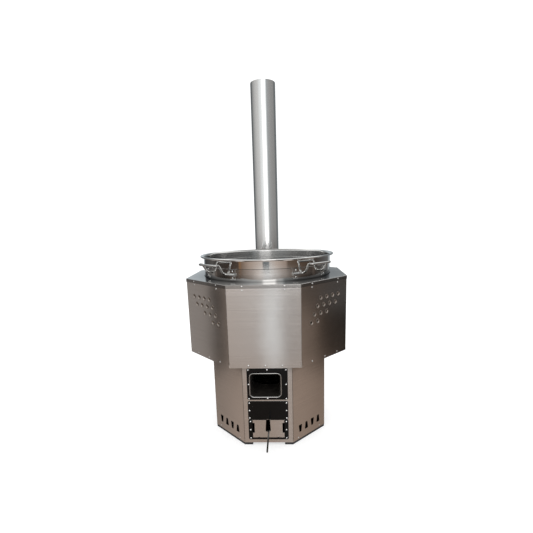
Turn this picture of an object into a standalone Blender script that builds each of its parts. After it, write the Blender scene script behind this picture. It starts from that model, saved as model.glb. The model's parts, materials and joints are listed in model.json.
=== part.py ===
"""Wood-fired cauldron stove: an octagonal steel housing on a narrower octagonal cabinet,
with a lift-out cauldron, a fuel feed, a push-pull grate, an ash drawer and a flue."""

from math import cos, pi, radians, sin, tan

import bmesh
import bpy
from mathutils import Matrix, Vector

# Sheet, seams and the gap kept between pieces that touch
SHEET = 0.0015
GAP = 0.0003
OVERRUN = 0.006
SMOOTH_ANGLE = radians(35)
CORNER_STEPS = 3
SMALL_STEPS = 2
SLIGHT_BEND = radians(10)

# Octagon that both casings share
SIDES = 8
TURN = 2 * pi / SIDES
HALF_TURN = TURN / 2
FACE_NAMES = ("front", "front_right", "right", "back_right", "back", "back_left", "left", "front_left")

# Feet and cabinet
FOOT_HEIGHT = 0.012
FOOT_WIDTH = 0.022
FOOT_WRAP = 0.040
FOOT_INSET = 0.001
HOUSING_OVERHANG = 0.0995
CABINET_ABOVE_FEED = 0.0435
FOLD = 0.014
PAN_FLANGE = 0.015

# Air slots at the foot of the two front diagonal faces
SLOT_COUNT = 4
SLOT_PITCH = 0.0445
SLOT_HEIGHT = 0.038
SLOT_RISE = 0.035
SLOT_WIDE = 0.024
SLOT_NARROW = 0.014
SLOT_CORNER = 0.003

# Housing round the cauldron and its top plate
LINER_TO_CASING = 0.032
HOUSING_HEIGHT = 0.370
TOP_FLANGE = 0.016
THROAT_CLEARANCE = 0.0025

# Dished vents on the two front diagonal faces of the housing
VENT_ROWS = (4, 4, 3, 2)
VENT_PITCH = 0.042
VENT_ROW_PITCH = 0.0345
VENT_FIRST = 0.127
VENT_TOP = 0.0765
VENT_DISH_RADIUS = 0.0095
VENT_HOLE_RADIUS = 0.0035
VENT_DEPTH = 0.0035
VENT_SEGMENTS = 8

# Cauldron
POT_RADIUS = 0.322
POT_WALL = 0.002
POT_RIM_OVERHANG = 0.0175
POT_RIM_RISE = 0.101
POT_FLARE = 0.012
POT_BEAD = 0.004
POT_BAND_RISE = 0.057
POT_BAND_STEP = 0.0015
POT_KNUCKLE = 0.040
POT_BEAD_STEPS = 4
POT_SEGMENTS = 48

# Trivet under the cauldron: four fins on a flat ring
TRIVET_HEIGHT = 0.075
TRIVET_RING_RADIUS = 0.240
TRIVET_RING_WIDTH = 0.030
TRIVET_RING_SHEET = 0.008
TRIVET_FIN_LENGTH = 0.095
TRIVET_FIN_SHEET = 0.008
TRIVET_FINS = 4

# Cauldron handles, bent from round bar and held in saddles
HANDLE_TURNS = (radians(41.7), radians(138.3), radians(221.7), radians(318.3))
HANDLE_NAMES = ("front_right", "back_right", "back_left", "front_left")
HANDLE_BAR_RADIUS = 0.005
HANDLE_GRIP = 0.128
HANDLE_REACH = 0.063
HANDLE_LOW_RISE = 0.031
HANDLE_GRIP_RISE = 0.075
HANDLE_BEND = 0.011
HANDLE_OUT_SHARE = 0.30
HANDLE_UP_SHARE = 0.66
HANDLE_OUT_RISE_SHARE = 0.20
HANDLE_FOOT_TURN = radians(9.3)
HANDLE_END_TURN = radians(18.6)
HANDLE_SADDLE_TURN = radians(16.0)
SADDLE_WIDTH = 0.024
SADDLE_LUG = 0.016
SADDLE_SHEET = 0.002
SADDLE_STEPS = 6

# Front plates, bolted one above another on the cabinet
PLATE_SHEET = 0.003
PLATE_BESIDE_DRAWER = 0.0205
PLATE_CORNER = 0.007
FRAME_RISE = 0.018
FRAME_HEIGHT = 0.104
FRAME_BAR = 0.0105
FRAME_TO_BLANK = 0.0025
BLANK_HEIGHT = 0.0935
BLANK_TO_FEED = 0.0085
FEED_PLATE_HEIGHT = 0.157
BLANK_WINDOW_MARGIN = 0.018

# Fuel feed, off centre to the left
PLATE_BESIDE_FEED = 0.0195
FEED_HEIGHT = 0.126
FEED_CORNER = 0.022
FEED_CORNER_STEPS = 5
FEED_SIDESTEP = -0.009
FEED_RIM_RADIUS = 0.003
FEED_WALL = 0.0015
FEED_TUBE_PROUD = 0.004

# Fire chamber, its floor and the grate
CHAMBER_RADIUS = 0.165
CHAMBER_WALL = 0.003
CHAMBER_SEGMENTS = 40
HEARTH_SHEET = 0.004
HEARTH_RISE = 0.012
HEARTH_SIDE = 0.345
HEARTH_HOLE = 0.220
GRATE_SHEET = 0.005
GRATE_WIDTH = 0.246
GRATE_LENGTH = 0.292
GRATE_SLOT = 0.008
GRATE_SLOT_PITCH = 0.020
GRATE_SLOT_COUNT = 10
GRATE_CLEARANCE = 0.001
RAIL_SHEET = 0.003
RAIL_LEDGE = 0.016

# Shaker rod under the grate
ROD_RADIUS = 0.004
ROD_REACH = 0.183
ROD_SIDESTEP = 0.0015
ROD_OVER_TRAY = 0.0085
ROD_SEGMENTS = 16
ROD_END_STEPS = 3
STRAP_WIDTH = 0.028
STRAP_SHEET = 0.004
NUT_SIDES = 6
NUT_ACROSS = 0.014
NUT_HEIGHT = 0.006

# Ash drawer
DRAWER_WIDTH = 0.153
DRAWER_CLEARANCE = 0.001
DRAWER_SHEET = 0.002
DRAWER_PROUD = 0.001
TRAY_INSIDE_FINGERS = 0.0005
TRAY_LENGTH = 0.250
TRAY_DEPTH = 0.030
TRAY_WALL = 0.0012
NOTCH_TOP_HALF = 0.0085
NOTCH_LOW_HALF = 0.013
NOTCH_BELOW_ROD = 0.008
NOTCH_SIDESTEP = -0.0035
NOTCH_STEPS = 4
FINGER_DEPTH = 0.009
FINGER_HEIGHT = 0.052
FINGER_RISE = 0.025
FINGER_CORNER = 0.002
DRAIN_RADIUS = 0.0045
DRAIN_SPREAD = 0.048
RUNNER_SHEET = 0.002
RUNNER_LEDGE = 0.014
RUNNER_GUIDE = 0.010

# Gas jacket, flue and chimney
JACKET_WIDTH = 0.032
LINER_SEGMENTS = 40
FLUE_SIDESTEP = -0.021
FLUE_RISE = 0.200
PIPE_RADIUS = 0.075
PIPE_WALL = 0.001
PIPE_FIT = 0.0005
PIPE_TOP = 1.885
PIPE_SEGMENTS = 28
CHIMNEY_BEHIND = 0.094
ELBOW_STRAIGHT = 0.006
ELBOW_SPIGOT = 0.050
ELBOW_BEAD = 0.003
ELBOW_STEPS = 6
COLLAR_LAP = 0.005
FLANGE_WIDTH = 0.020
FLANGE_SHEET = 0.002

# Heights that follow from the stack, measured from the floor
PLATES_HEIGHT = FRAME_HEIGHT + FRAME_TO_BLANK + BLANK_HEIGHT + BLANK_TO_FEED + FEED_PLATE_HEIGHT
CABINET_HEIGHT = FRAME_RISE + PLATES_HEIGHT + CABINET_ABOVE_FEED
CABINET_Z = FOOT_HEIGHT + GAP
HOUSING_Z = CABINET_Z + CABINET_HEIGHT + GAP
PANEL_TOP_Z = HOUSING_Z + HOUSING_HEIGHT
TOP_Z = PANEL_TOP_Z + GAP + SHEET
RIM_Z = TOP_Z + POT_RIM_RISE
POT_BOTTOM_Z = HOUSING_Z + SHEET + GAP + TRIVET_HEIGHT + GAP
FRAME_Z = CABINET_Z + FRAME_RISE
BLANK_Z = FRAME_Z + FRAME_HEIGHT + FRAME_TO_BLANK
FEED_PLATE_Z = BLANK_Z + BLANK_HEIGHT + BLANK_TO_FEED
FEED_Z = FEED_PLATE_Z + FEED_PLATE_HEIGHT / 2 - FEED_RIM_RADIUS
DRAWER_Z = FRAME_Z + FRAME_BAR + DRAWER_CLEARANCE
DRAWER_TOP_Z = FRAME_Z + FRAME_HEIGHT
ROD_Z = DRAWER_Z + TRAY_DEPTH + ROD_OVER_TRAY + ROD_RADIUS
HEARTH_Z = BLANK_Z + HEARTH_RISE
GRATE_Z = HEARTH_Z - GRATE_CLEARANCE - GRATE_SHEET
RAIL_TOP_Z = HEARTH_Z - GAP
FLUE_Z = HOUSING_Z + FLUE_RISE

# Widths that follow from the ash drawer's
PLATE_WIDTH = DRAWER_WIDTH + 2 * PLATE_BESIDE_DRAWER
FEED_WIDTH = PLATE_WIDTH - 2 * PLATE_BESIDE_FEED

# Distances from the stove's axis
POT_RIM_RADIUS = POT_RADIUS + POT_RIM_OVERHANG
LINER_RADIUS = POT_RADIUS + JACKET_WIDTH
HOUSING_APOTHEM = LINER_RADIUS + LINER_TO_CASING
CABINET_APOTHEM = HOUSING_APOTHEM - HOUSING_OVERHANG
PLATE_BACK = CABINET_APOTHEM + GAP
PLATE_FRONT = PLATE_BACK + PLATE_SHEET
DRAWER_FACE = PLATE_FRONT + DRAWER_PROUD
ROD_TIP = CABINET_APOTHEM + ROD_REACH
CHIMNEY_Y = HOUSING_APOTHEM + CHIMNEY_BEHIND
TRAY_WIDTH = DRAWER_WIDTH - 2 * (FINGER_DEPTH + TRAY_INSIDE_FINGERS)
DRAWER_WINDOW = DRAWER_WIDTH + 2 * DRAWER_CLEARANCE
ELBOW_RADIUS = PIPE_RADIUS - PIPE_WALL - PIPE_FIT
ELBOW_START_Y = HOUSING_APOTHEM + 2 * GAP + FLANGE_SHEET
ELBOW_BEND = CHIMNEY_Y - ELBOW_START_Y - ELBOW_STRAIGHT
CHIMNEY_LOW_Z = FLUE_Z + ELBOW_BEND + 4 * ELBOW_BEAD + GAP
HANDLE_MOUNT_RADIUS = POT_RADIUS + GAP + HANDLE_BAR_RADIUS

# The axis stands so that the whole object is centred front to back
AXIS_Y = (ROD_TIP - CHIMNEY_Y - PIPE_RADIUS) / 2

# Materials: colour, roughness, metallic
FINISHES = {
    "brushed_stainless": ((0.56, 0.52, 0.49), 0.34, 1.0),
    "dark_stainless": ((0.40, 0.36, 0.33), 0.32, 1.0),
    "polished_stainless": ((0.68, 0.68, 0.67), 0.16, 1.0),
    "black_enamel": ((0.012, 0.013, 0.013), 0.35, 0.0),
    "black_rubber": ((0.020, 0.020, 0.020), 0.75, 0.0),
    "fire_steel": ((0.060, 0.055, 0.050), 0.65, 0.8),
    "bright_zinc": ((0.72, 0.72, 0.72), 0.25, 1.0),
}


def new_collection(name):
    """Make a collection in the scene."""
    collection = bpy.data.collections.new(name)
    bpy.context.scene.collection.children.link(collection)
    return collection


for old in list(bpy.data.objects):
    bpy.data.objects.remove(old)
PARTS = new_collection("cauldron_stove")
CUTTERS = new_collection("cutters")


def new_empty(name, location):
    """An empty that carries the pieces of one moving body."""
    empty = bpy.data.objects.new(name, None)
    empty.location = location
    PARTS.objects.link(empty)
    return empty


def finish(piece, finish_name):
    """Give a piece its own material."""
    colour, roughness, metallic = FINISHES[finish_name]
    material = bpy.data.materials.new(piece.name + "_" + finish_name)
    material.use_nodes = True
    shader = material.node_tree.nodes["Principled BSDF"]
    shader.inputs["Base Color"].default_value = (*colour, 1)
    shader.inputs["Roughness"].default_value = roughness
    shader.inputs["Metallic"].default_value = metallic
    piece.data.materials.clear()
    piece.data.materials.append(material)


def add_piece(name, data, finish_name, parent, matrix=Matrix()):
    """Place a sub-part, given in its own axes about its parent."""
    piece = bpy.data.objects.new(name, data)
    PARTS.objects.link(piece)
    piece.parent = parent
    piece.matrix_local = matrix
    finish(piece, finish_name)
    return piece


def add_cutter(piece, mesh, matrix=Matrix(), operation="DIFFERENCE"):
    """Cut a mesh out of a piece, or join it on, in the piece's own axes."""
    cutter = bpy.data.objects.new(piece.name + "_cutter", mesh)
    CUTTERS.objects.link(cutter)
    cutter.parent = piece
    cutter.matrix_local = matrix
    cutter.hide_render = True
    cutter.display_type = "WIRE"
    boolean = piece.modifiers.new("cut", "BOOLEAN")
    boolean.operation = operation
    boolean.object = cutter
    return cutter


def baked(carrier, matrix=Matrix()):
    """The evaluated mesh of a helper object, welded, with the helper removed."""
    bpy.context.scene.collection.objects.link(carrier)
    graph = bpy.context.evaluated_depsgraph_get()
    mesh = bpy.data.meshes.new_from_object(carrier.evaluated_get(graph))
    bpy.data.objects.remove(carrier)
    work = bmesh.new()
    work.from_mesh(mesh)
    bmesh.ops.remove_doubles(work, verts=work.verts, dist=0.1 * GAP)
    work.to_mesh(mesh)
    work.free()
    mesh.transform(matrix)
    return mesh


def prism(outlines, low, high):
    """A flat outline, with holes as further outlines, standing from low to high in Z."""
    curve = bpy.data.curves.new("outline", "CURVE")
    curve.dimensions = "2D"
    curve.fill_mode = "BOTH"
    curve.extrude = (high - low) / 2
    for outline in outlines:
        spline = curve.splines.new("POLY")
        spline.points.add(len(outline) - 1)
        for point, place in zip(spline.points, outline):
            point.co = (place[0], place[1], 0, 1)
        spline.use_cyclic_u = True
    return baked(bpy.data.objects.new("outline", curve), Matrix.Translation((0, 0, (low + high) / 2)))


def upright(front, side=0.0, height=0.0):
    """Stand a prism on edge, so that its Z runs to the front and its Y runs up."""
    return Matrix.Translation((side, -front, height)) @ Matrix.Rotation(pi / 2, 4, "X")


def turned(profile, segments, name="turned"):
    """A turned mesh whose profile of (radius, height) runs down its outer side."""
    mesh = bpy.data.meshes.new(name)
    on_axis = profile[0][0] == 0
    count = len(profile)
    edges = [(index, index + 1) for index in range(count - 1)]
    if not on_axis:
        edges.append((count - 1, 0))
    mesh.from_pydata([(radius, 0, height) for radius, height in profile], edges, [])
    carrier = bpy.data.objects.new(name, mesh)
    screw = carrier.modifiers.new("turn", "SCREW")
    screw.axis = "Z"
    screw.steps = segments
    screw.render_steps = segments
    screw.use_merge_vertices = True
    screw.merge_threshold = 0.1 * GAP
    result = baked(carrier)
    result.shade_smooth()
    result.set_sharp_from_angle(angle=SMOOTH_ANGLE)
    return result


def tube_profile(outer, wall, low, high):
    """Profile of a plain tube, down its outer side and up its bore."""
    return [(outer, high), (outer, low), (outer - wall, low), (outer - wall, high)]


def disc(radius, low, high, segments):
    """A solid cylinder standing on Z."""
    return turned([(0, high), (radius, high), (radius, low), (0, low)], segments)


def box(width, depth, height, centre):
    """A box from its sizes and its middle."""
    work = bmesh.new()
    scale = Matrix.Diagonal((width, depth, height, 1))
    bmesh.ops.create_cube(work, size=1, matrix=Matrix.Translation(centre) @ scale)
    mesh = bpy.data.meshes.new("box")
    work.to_mesh(mesh)
    work.free()
    return mesh


def grouped(name, placed):
    """One mesh of several separate solids, each with its place."""
    work = bmesh.new()
    for mesh, matrix in placed:
        copy = mesh.copy()
        copy.transform(matrix)
        work.from_mesh(copy)
        bpy.data.meshes.remove(copy)
    mesh = bpy.data.meshes.new(name)
    work.to_mesh(mesh)
    work.free()
    return mesh


def arc(centre, radius, start, end, steps):
    """Points along an arc of a flat outline, its angles counted from +X."""
    points = []
    for step in range(steps + 1):
        angle = start + (end - start) * step / steps
        points.append((centre[0] + radius * cos(angle), centre[1] + radius * sin(angle)))
    return points


def rounded(corners, radius, steps, closed=True):
    """Points along straight runs whose corners, all but the slight ones, are arcs of one radius."""
    corners = [Vector(corner).to_3d() for corner in corners]
    points = []
    for index, corner in enumerate(corners):
        if not closed and index in (0, len(corners) - 1):
            points.append(corner)
            continue
        back = (corners[index - 1] - corner).normalized()
        ahead = (corners[(index + 1) % len(corners)] - corner).normalized()
        half = back.angle(ahead) / 2
        if pi - 2 * half < SLIGHT_BEND:
            points.append(corner)
            continue
        start = corner + back * radius / tan(half)
        centre = corner + (back + ahead).normalized() * radius / sin(half)
        for step in range(steps + 1):
            angle = (pi - 2 * half) * step / steps
            points.append(centre + (start - centre) * cos(angle) - back * radius * sin(angle))
    return points


def rectangle(width, height, low, middle=0.0):
    """Corners of an upright rectangle whose lower edge is at low."""
    left = middle - width / 2
    right = middle + width / 2
    return [(left, low), (right, low), (right, low + height), (left, low + height)]


def bar(name, points, radius, quarter_steps, closed=False):
    """A round bar along a path."""
    curve = bpy.data.curves.new(name, "CURVE")
    curve.dimensions = "3D"
    curve.bevel_depth = radius
    curve.bevel_resolution = quarter_steps
    curve.use_fill_caps = True
    spline = curve.splines.new("POLY")
    spline.points.add(len(points) - 1)
    for point, place in zip(spline.points, points):
        point.co = (*place, 1)
    spline.use_cyclic_u = closed
    return curve


def side_length(apothem):
    """Side of an octagon from the distance of its faces."""
    return 2 * apothem * tan(HALF_TURN)


def face_turn(index):
    """Turn from the front face to another face of the octagon."""
    return Matrix.Rotation(index * TURN, 4, "Z")


def on_octagon(apothem, index, along):
    """Plan point on a face of an octagon, along from the middle of that face."""
    return face_turn(index) @ Vector((along, -apothem, 0))


def around(turn, radius, height=0.0):
    """Point at a turn from the front, seen from above, on a circle about the axis."""
    return Vector((radius * sin(turn), -radius * cos(turn), height))


def octagon_shell(apothem, wall, upward):
    """A folded octagonal pan: a floor with a wall up, or a lid with a wall down."""
    work = bmesh.new()
    turn = Matrix.Rotation(HALF_TURN, 4, "Z")
    bmesh.ops.create_circle(
        work, cap_ends=True, segments=SIDES, radius=apothem / cos(HALF_TURN), matrix=turn
    )
    rim = bmesh.ops.extrude_edge_only(work, edges=work.edges[:])["geom"]
    rim_points = [item for item in rim if isinstance(item, bmesh.types.BMVert)]
    bmesh.ops.translate(work, verts=rim_points, vec=(0, 0, wall if upward else -wall))
    bmesh.ops.recalc_face_normals(work, faces=work.faces)
    flat = max(work.faces, key=lambda face: face.calc_area())
    if (flat.normal.z > 0) == upward:
        bmesh.ops.reverse_faces(work, faces=work.faces)
    mesh = bpy.data.meshes.new("octagon_shell")
    work.to_mesh(mesh)
    work.free()
    carrier = bpy.data.objects.new("octagon_shell", mesh)
    solidify = carrier.modifiers.new("thickness", "SOLIDIFY")
    solidify.thickness = SHEET
    solidify.offset = -1
    solidify.use_even_offset = True
    return baked(carrier)


def folded_panel(apothem, height):
    """A casing panel facing the front, with both upright edges folded in along the corners."""
    slope = tan(HALF_TURN)
    edge = side_length(apothem) / 2 - GAP / 2 / cos(HALF_TURN)
    along_fold = Vector((-sin(HALF_TURN), cos(HALF_TURN)))
    across_fold = Vector((-cos(HALF_TURN), -sin(HALF_TURN)))
    outer = Vector((edge, -apothem))
    tip = outer + along_fold * FOLD
    inner = Vector((edge - SHEET * slope - SHEET / cos(HALF_TURN), -apothem + SHEET))
    right = [outer, tip, tip + across_fold * SHEET, inner]
    left = [Vector((-point.x, point.y)) for point in reversed(right)]
    carrier = bpy.data.objects.new("panel", prism([right + left], 0, height))
    cut_low = -apothem + SHEET + GAP
    cut_depth = FOLD + OVERRUN
    cut_height = PAN_FLANGE + OVERRUN
    middle = (0, cut_low + cut_depth / 2, (PAN_FLANGE + GAP - OVERRUN) / 2)
    trimmer = bpy.data.objects.new("trim", box(4 * edge, cut_depth, cut_height, middle))
    bpy.context.scene.collection.objects.link(trimmer)
    trim = carrier.modifiers.new("trim", "BOOLEAN")
    trim.object = trimmer
    mesh = baked(carrier)
    bpy.data.objects.remove(trimmer)
    return mesh


def add_feet(stove):
    """Four black rails under the diagonal faces, each wrapping its two corners."""
    outer = CABINET_APOTHEM - FOOT_INSET
    inner = outer - FOOT_WIDTH
    outer_half = side_length(outer) / 2
    inner_half = side_length(inner) / 2
    end = outer_half - FOOT_WRAP
    for index in range(1, SIDES, 2):
        outline = [
            on_octagon(outer, index - 1, end),
            on_octagon(outer, index - 1, outer_half),
            on_octagon(outer, index, outer_half),
            on_octagon(outer, index + 1, -end),
            on_octagon(inner, index + 1, -end),
            on_octagon(inner, index, inner_half),
            on_octagon(inner, index - 1, inner_half),
            on_octagon(inner, index - 1, end),
        ]
        add_piece("foot_rail_" + FACE_NAMES[index], prism([outline], 0, FOOT_HEIGHT), "black_rubber", stove)


def air_slot(middle, wide_on_top):
    """Outline of one rounded trapezoid slot."""
    top = (SLOT_WIDE if wide_on_top else SLOT_NARROW) / 2
    low = (SLOT_NARROW if wide_on_top else SLOT_WIDE) / 2
    corners = [
        (middle - low, SLOT_RISE),
        (middle + low, SLOT_RISE),
        (middle + top, SLOT_RISE + SLOT_HEIGHT),
        (middle - top, SLOT_RISE + SLOT_HEIGHT),
    ]
    return rounded(corners, SLOT_CORNER, SMALL_STEPS)


def add_cabinet(stove):
    """Base pan and the eight panels of the lower cabinet."""
    pan_apothem = CABINET_APOTHEM - SHEET - GAP
    base = Matrix.Translation((0, 0, CABINET_Z))
    add_piece("base_pan", octagon_shell(pan_apothem, PAN_FLANGE, True), "dark_stainless", stove, base)
    mesh = folded_panel(CABINET_APOTHEM, CABINET_HEIGHT)
    through = upright(CABINET_APOTHEM)
    panels = []
    for index, face in enumerate(FACE_NAMES):
        shared = mesh.copy() if index in (0, 1, SIDES - 1) else mesh
        panels.append(
            add_piece("cabinet_panel_" + face, shared, "brushed_stainless", stove, base @ face_turn(index))
        )
    slots = []
    for number in range(SLOT_COUNT):
        middle = (number - (SLOT_COUNT - 1) / 2) * SLOT_PITCH
        slots.append(air_slot(middle, number % 2 == 0))
    for index in (1, SIDES - 1):
        for slot in slots:
            add_cutter(panels[index], prism([slot], -OVERRUN, OVERRUN), through)
    windows = [
        feed_outline(FEED_RIM_RADIUS, FEED_Z - CABINET_Z),
        rectangle(
            PLATE_WIDTH - 2 * BLANK_WINDOW_MARGIN,
            BLANK_HEIGHT - 2 * BLANK_WINDOW_MARGIN,
            BLANK_Z - CABINET_Z + BLANK_WINDOW_MARGIN,
        ),
        rectangle(
            DRAWER_WINDOW + 2 * DRAWER_CLEARANCE,
            FRAME_HEIGHT - FRAME_BAR + DRAWER_CLEARANCE,
            FRAME_Z - CABINET_Z + FRAME_BAR - DRAWER_CLEARANCE,
        ),
    ]
    for window in windows:
        add_cutter(panels[0], prism([window], -OVERRUN, OVERRUN), through)


def feed_outline(inset, middle_z):
    """Rounded outline of the fuel feed, drawn in from the outside of its bright rim."""
    width = FEED_WIDTH - 2 * inset
    height = FEED_HEIGHT - 2 * inset
    corners = rectangle(width, height, middle_z - height / 2, FEED_SIDESTEP)
    return rounded(corners, FEED_CORNER - inset, FEED_CORNER_STEPS)


def vent_places(mirrored):
    """Middles of the dished vents on one diagonal face of the housing."""
    half_side = side_length(HOUSING_APOTHEM) / 2
    places = []
    for row, count in enumerate(VENT_ROWS):
        for number in range(count):
            along = VENT_FIRST + number * VENT_PITCH - row * VENT_PITCH / 2 - half_side
            height = HOUSING_HEIGHT - VENT_TOP - row * VENT_ROW_PITCH
            places.append(Matrix.Translation((-along if mirrored else along, height, 0)))
    return places


def add_vents(panel, mirrored):
    """Press dished vents into a panel: a cone on the inside, a dish and a hole cut from the front."""
    wall = SHEET
    back_depth = VENT_DEPTH + wall
    back = turned(
        [
            (0, -wall / 2),
            (VENT_DISH_RADIUS + wall, -wall / 2),
            (VENT_DISH_RADIUS + wall / 2, -wall - GAP),
            (VENT_HOLE_RADIUS + wall, -back_depth),
            (0, -back_depth),
        ],
        VENT_SEGMENTS,
    )
    slope = (VENT_DISH_RADIUS - VENT_HOLE_RADIUS) / VENT_DEPTH
    front = turned(
        [
            (0, wall),
            (VENT_DISH_RADIUS + slope * wall, wall),
            (VENT_HOLE_RADIUS, -VENT_DEPTH),
            (VENT_HOLE_RADIUS, -back_depth - wall),
            (0, -back_depth - wall),
        ],
        VENT_SEGMENTS,
    )
    places = vent_places(mirrored)
    stand = upright(HOUSING_APOTHEM)
    add_cutter(panel, grouped("vent_cones", [(back, place) for place in places]), stand, "UNION")
    add_cutter(panel, grouped("vent_dishes", [(front, place) for place in places]), stand)


def add_housing(stove):
    """Floor, eight panels and top plate of the upper housing, with its gas jacket."""
    base = Matrix.Translation((0, 0, HOUSING_Z))
    floor_apothem = HOUSING_APOTHEM - SHEET - GAP
    pan = octagon_shell(floor_apothem, PAN_FLANGE, True)
    floor = add_piece("housing_floor", pan, "dark_stainless", stove, base)
    add_cutter(floor, disc(CHAMBER_RADIUS - CHAMBER_WALL, -OVERRUN, OVERRUN, CHAMBER_SEGMENTS))
    mesh = folded_panel(HOUSING_APOTHEM, HOUSING_HEIGHT)
    for index, face in enumerate(FACE_NAMES):
        shared = mesh.copy() if index in (1, SIDES // 2, SIDES - 1) else mesh
        turned_base = base @ face_turn(index)
        panel = add_piece("housing_panel_" + face, shared, "brushed_stainless", stove, turned_base)
        if index in (1, SIDES - 1):
            add_vents(panel, index != 1)
        if index == SIDES // 2:
            hole = disc(ELBOW_RADIUS + FLANGE_SHEET, -OVERRUN, OVERRUN, PIPE_SEGMENTS)
            add_cutter(panel, hole, upright(HOUSING_APOTHEM, -FLUE_SIDESTEP, FLUE_RISE))
    lid = octagon_shell(HOUSING_APOTHEM + GAP + SHEET, TOP_FLANGE, False)
    top = add_piece("top_plate", lid, "brushed_stainless", stove, Matrix.Translation((0, 0, TOP_Z)))
    add_cutter(top, disc(POT_RADIUS + THROAT_CLEARANCE, -OVERRUN, OVERRUN, POT_SEGMENTS))
    jacket_low = HOUSING_Z + SHEET + GAP
    jacket_high = TOP_Z - SHEET - GAP
    jacket = turned(tube_profile(LINER_RADIUS, SHEET, jacket_low, jacket_high), LINER_SEGMENTS)
    liner = add_piece("inner_liner", jacket, "fire_steel", stove)
    bore = disc(ELBOW_RADIUS - 2 * PIPE_WALL, -OVERRUN, LINER_RADIUS, PIPE_SEGMENTS)
    add_cutter(liner, bore, Matrix.Translation((FLUE_SIDESTEP, 0, FLUE_Z)) @ Matrix.Rotation(-pi / 2, 4, "X"))
    add_trivet(stove)


def add_trivet(stove):
    """Ring with upright fins that carries the cauldron over the fire."""
    ring = turned(tube_profile(TRIVET_RING_RADIUS, TRIVET_RING_WIDTH, 0, TRIVET_RING_SHEET), CHAMBER_SEGMENTS)
    stand = Matrix.Translation((0, 0, HOUSING_Z + SHEET + GAP))
    trivet = add_piece("pot_trivet", ring, "fire_steel", stove, stand)
    fin_z = (TRIVET_HEIGHT + GAP) / 2
    fin_y = -TRIVET_RING_RADIUS + TRIVET_RING_WIDTH / 2
    fin = box(TRIVET_FIN_SHEET, TRIVET_FIN_LENGTH, TRIVET_HEIGHT - GAP, (0, fin_y, fin_z))
    for number in range(TRIVET_FINS):
        turn = (number + 0.5) * 2 * pi / TRIVET_FINS
        add_cutter(trivet, fin, Matrix.Rotation(turn, 4, "Z"), "UNION")


def add_fireplace(stove):
    """Fire chamber, its floor, the feed tube and the rails that carry the grate."""
    chamber_low = HEARTH_Z + HEARTH_SHEET + GAP
    chamber_high = HOUSING_Z - GAP
    wall = turned(tube_profile(CHAMBER_RADIUS, CHAMBER_WALL, chamber_low, chamber_high), CHAMBER_SEGMENTS)
    chamber = add_piece("combustion_chamber", wall, "fire_steel", stove)
    tube_inset = 2 * FEED_RIM_RADIUS + GAP
    mouth = prism([feed_outline(tube_inset + FEED_WALL, FEED_Z)], 0, CABINET_APOTHEM)
    add_cutter(chamber, mouth, upright(0))
    hole = rectangle(HEARTH_HOLE, HEARTH_HOLE, -HEARTH_HOLE / 2)
    plate = rectangle(HEARTH_SIDE, HEARTH_SIDE, -HEARTH_SIDE / 2)
    hearth = prism([plate, hole], HEARTH_Z, HEARTH_Z + HEARTH_SHEET)
    add_piece("firebox_floor", hearth, "fire_steel", stove)
    outlines = [feed_outline(tube_inset, FEED_Z), feed_outline(tube_inset + FEED_WALL, FEED_Z)]
    tube_front = PLATE_FRONT + FEED_TUBE_PROUD
    tube = add_piece("feed_tube", prism(outlines, 0, tube_front), "fire_steel", stove, upright(0))
    core = disc(CHAMBER_RADIUS + GAP, FEED_Z - FEED_HEIGHT, FEED_Z + FEED_HEIGHT, CHAMBER_SEGMENTS)
    add_cutter(tube, core, upright(0).inverted())
    rail_side = GRATE_WIDTH / 2 + GRATE_CLEARANCE
    ledge_z = GRATE_Z - GAP
    profile = [
        (rail_side, RAIL_TOP_Z),
        (rail_side + RAIL_SHEET, RAIL_TOP_Z),
        (rail_side + RAIL_SHEET, ledge_z - RAIL_SHEET),
        (rail_side - RAIL_LEDGE, ledge_z - RAIL_SHEET),
        (rail_side - RAIL_LEDGE, ledge_z),
        (rail_side, ledge_z),
    ]
    for name, sign in (("right", 1), ("left", -1)):
        outline = [(sign * across, height) for across, height in profile]
        rail = prism([outline], -HEARTH_SIDE / 2, HEARTH_SIDE / 2)
        add_piece("grate_rail_" + name, rail, "fire_steel", stove, upright(0))


def add_front_plates(stove):
    """Three black plates on the cabinet front, and the bright rim of the fuel feed."""
    stand = upright(PLATE_BACK)
    feed_plate = rounded(rectangle(PLATE_WIDTH, FEED_PLATE_HEIGHT, FEED_PLATE_Z), PLATE_CORNER, CORNER_STEPS)
    feed_hole = feed_outline(2 * FEED_RIM_RADIUS - GAP, FEED_Z)
    add_piece("feed_frame", prism([feed_plate, feed_hole], 0, PLATE_SHEET), "black_enamel", stove, stand)
    rim_line = feed_outline(FEED_RIM_RADIUS, FEED_Z)
    rim_place = upright(PLATE_FRONT + GAP + FEED_RIM_RADIUS)
    rim = bar("feed_rim", rim_line, FEED_RIM_RADIUS, SMALL_STEPS, True)
    add_piece("feed_rim", rim, "polished_stainless", stove, rim_place)
    blank = rounded(rectangle(PLATE_WIDTH, BLANK_HEIGHT, BLANK_Z), PLATE_CORNER, CORNER_STEPS)
    add_piece("blanking_plate", prism([blank], 0, PLATE_SHEET), "black_enamel", stove, stand)
    frame = rounded(rectangle(PLATE_WIDTH, FRAME_HEIGHT, FRAME_Z), PLATE_CORNER, CORNER_STEPS)
    drawer_frame = add_piece("drawer_frame", prism([frame], 0, PLATE_SHEET), "black_enamel", stove, stand)
    window = rectangle(DRAWER_WINDOW, FRAME_HEIGHT, FRAME_Z + FRAME_BAR)
    add_cutter(drawer_frame, prism([window], -OVERRUN, PLATE_SHEET + OVERRUN))


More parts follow.
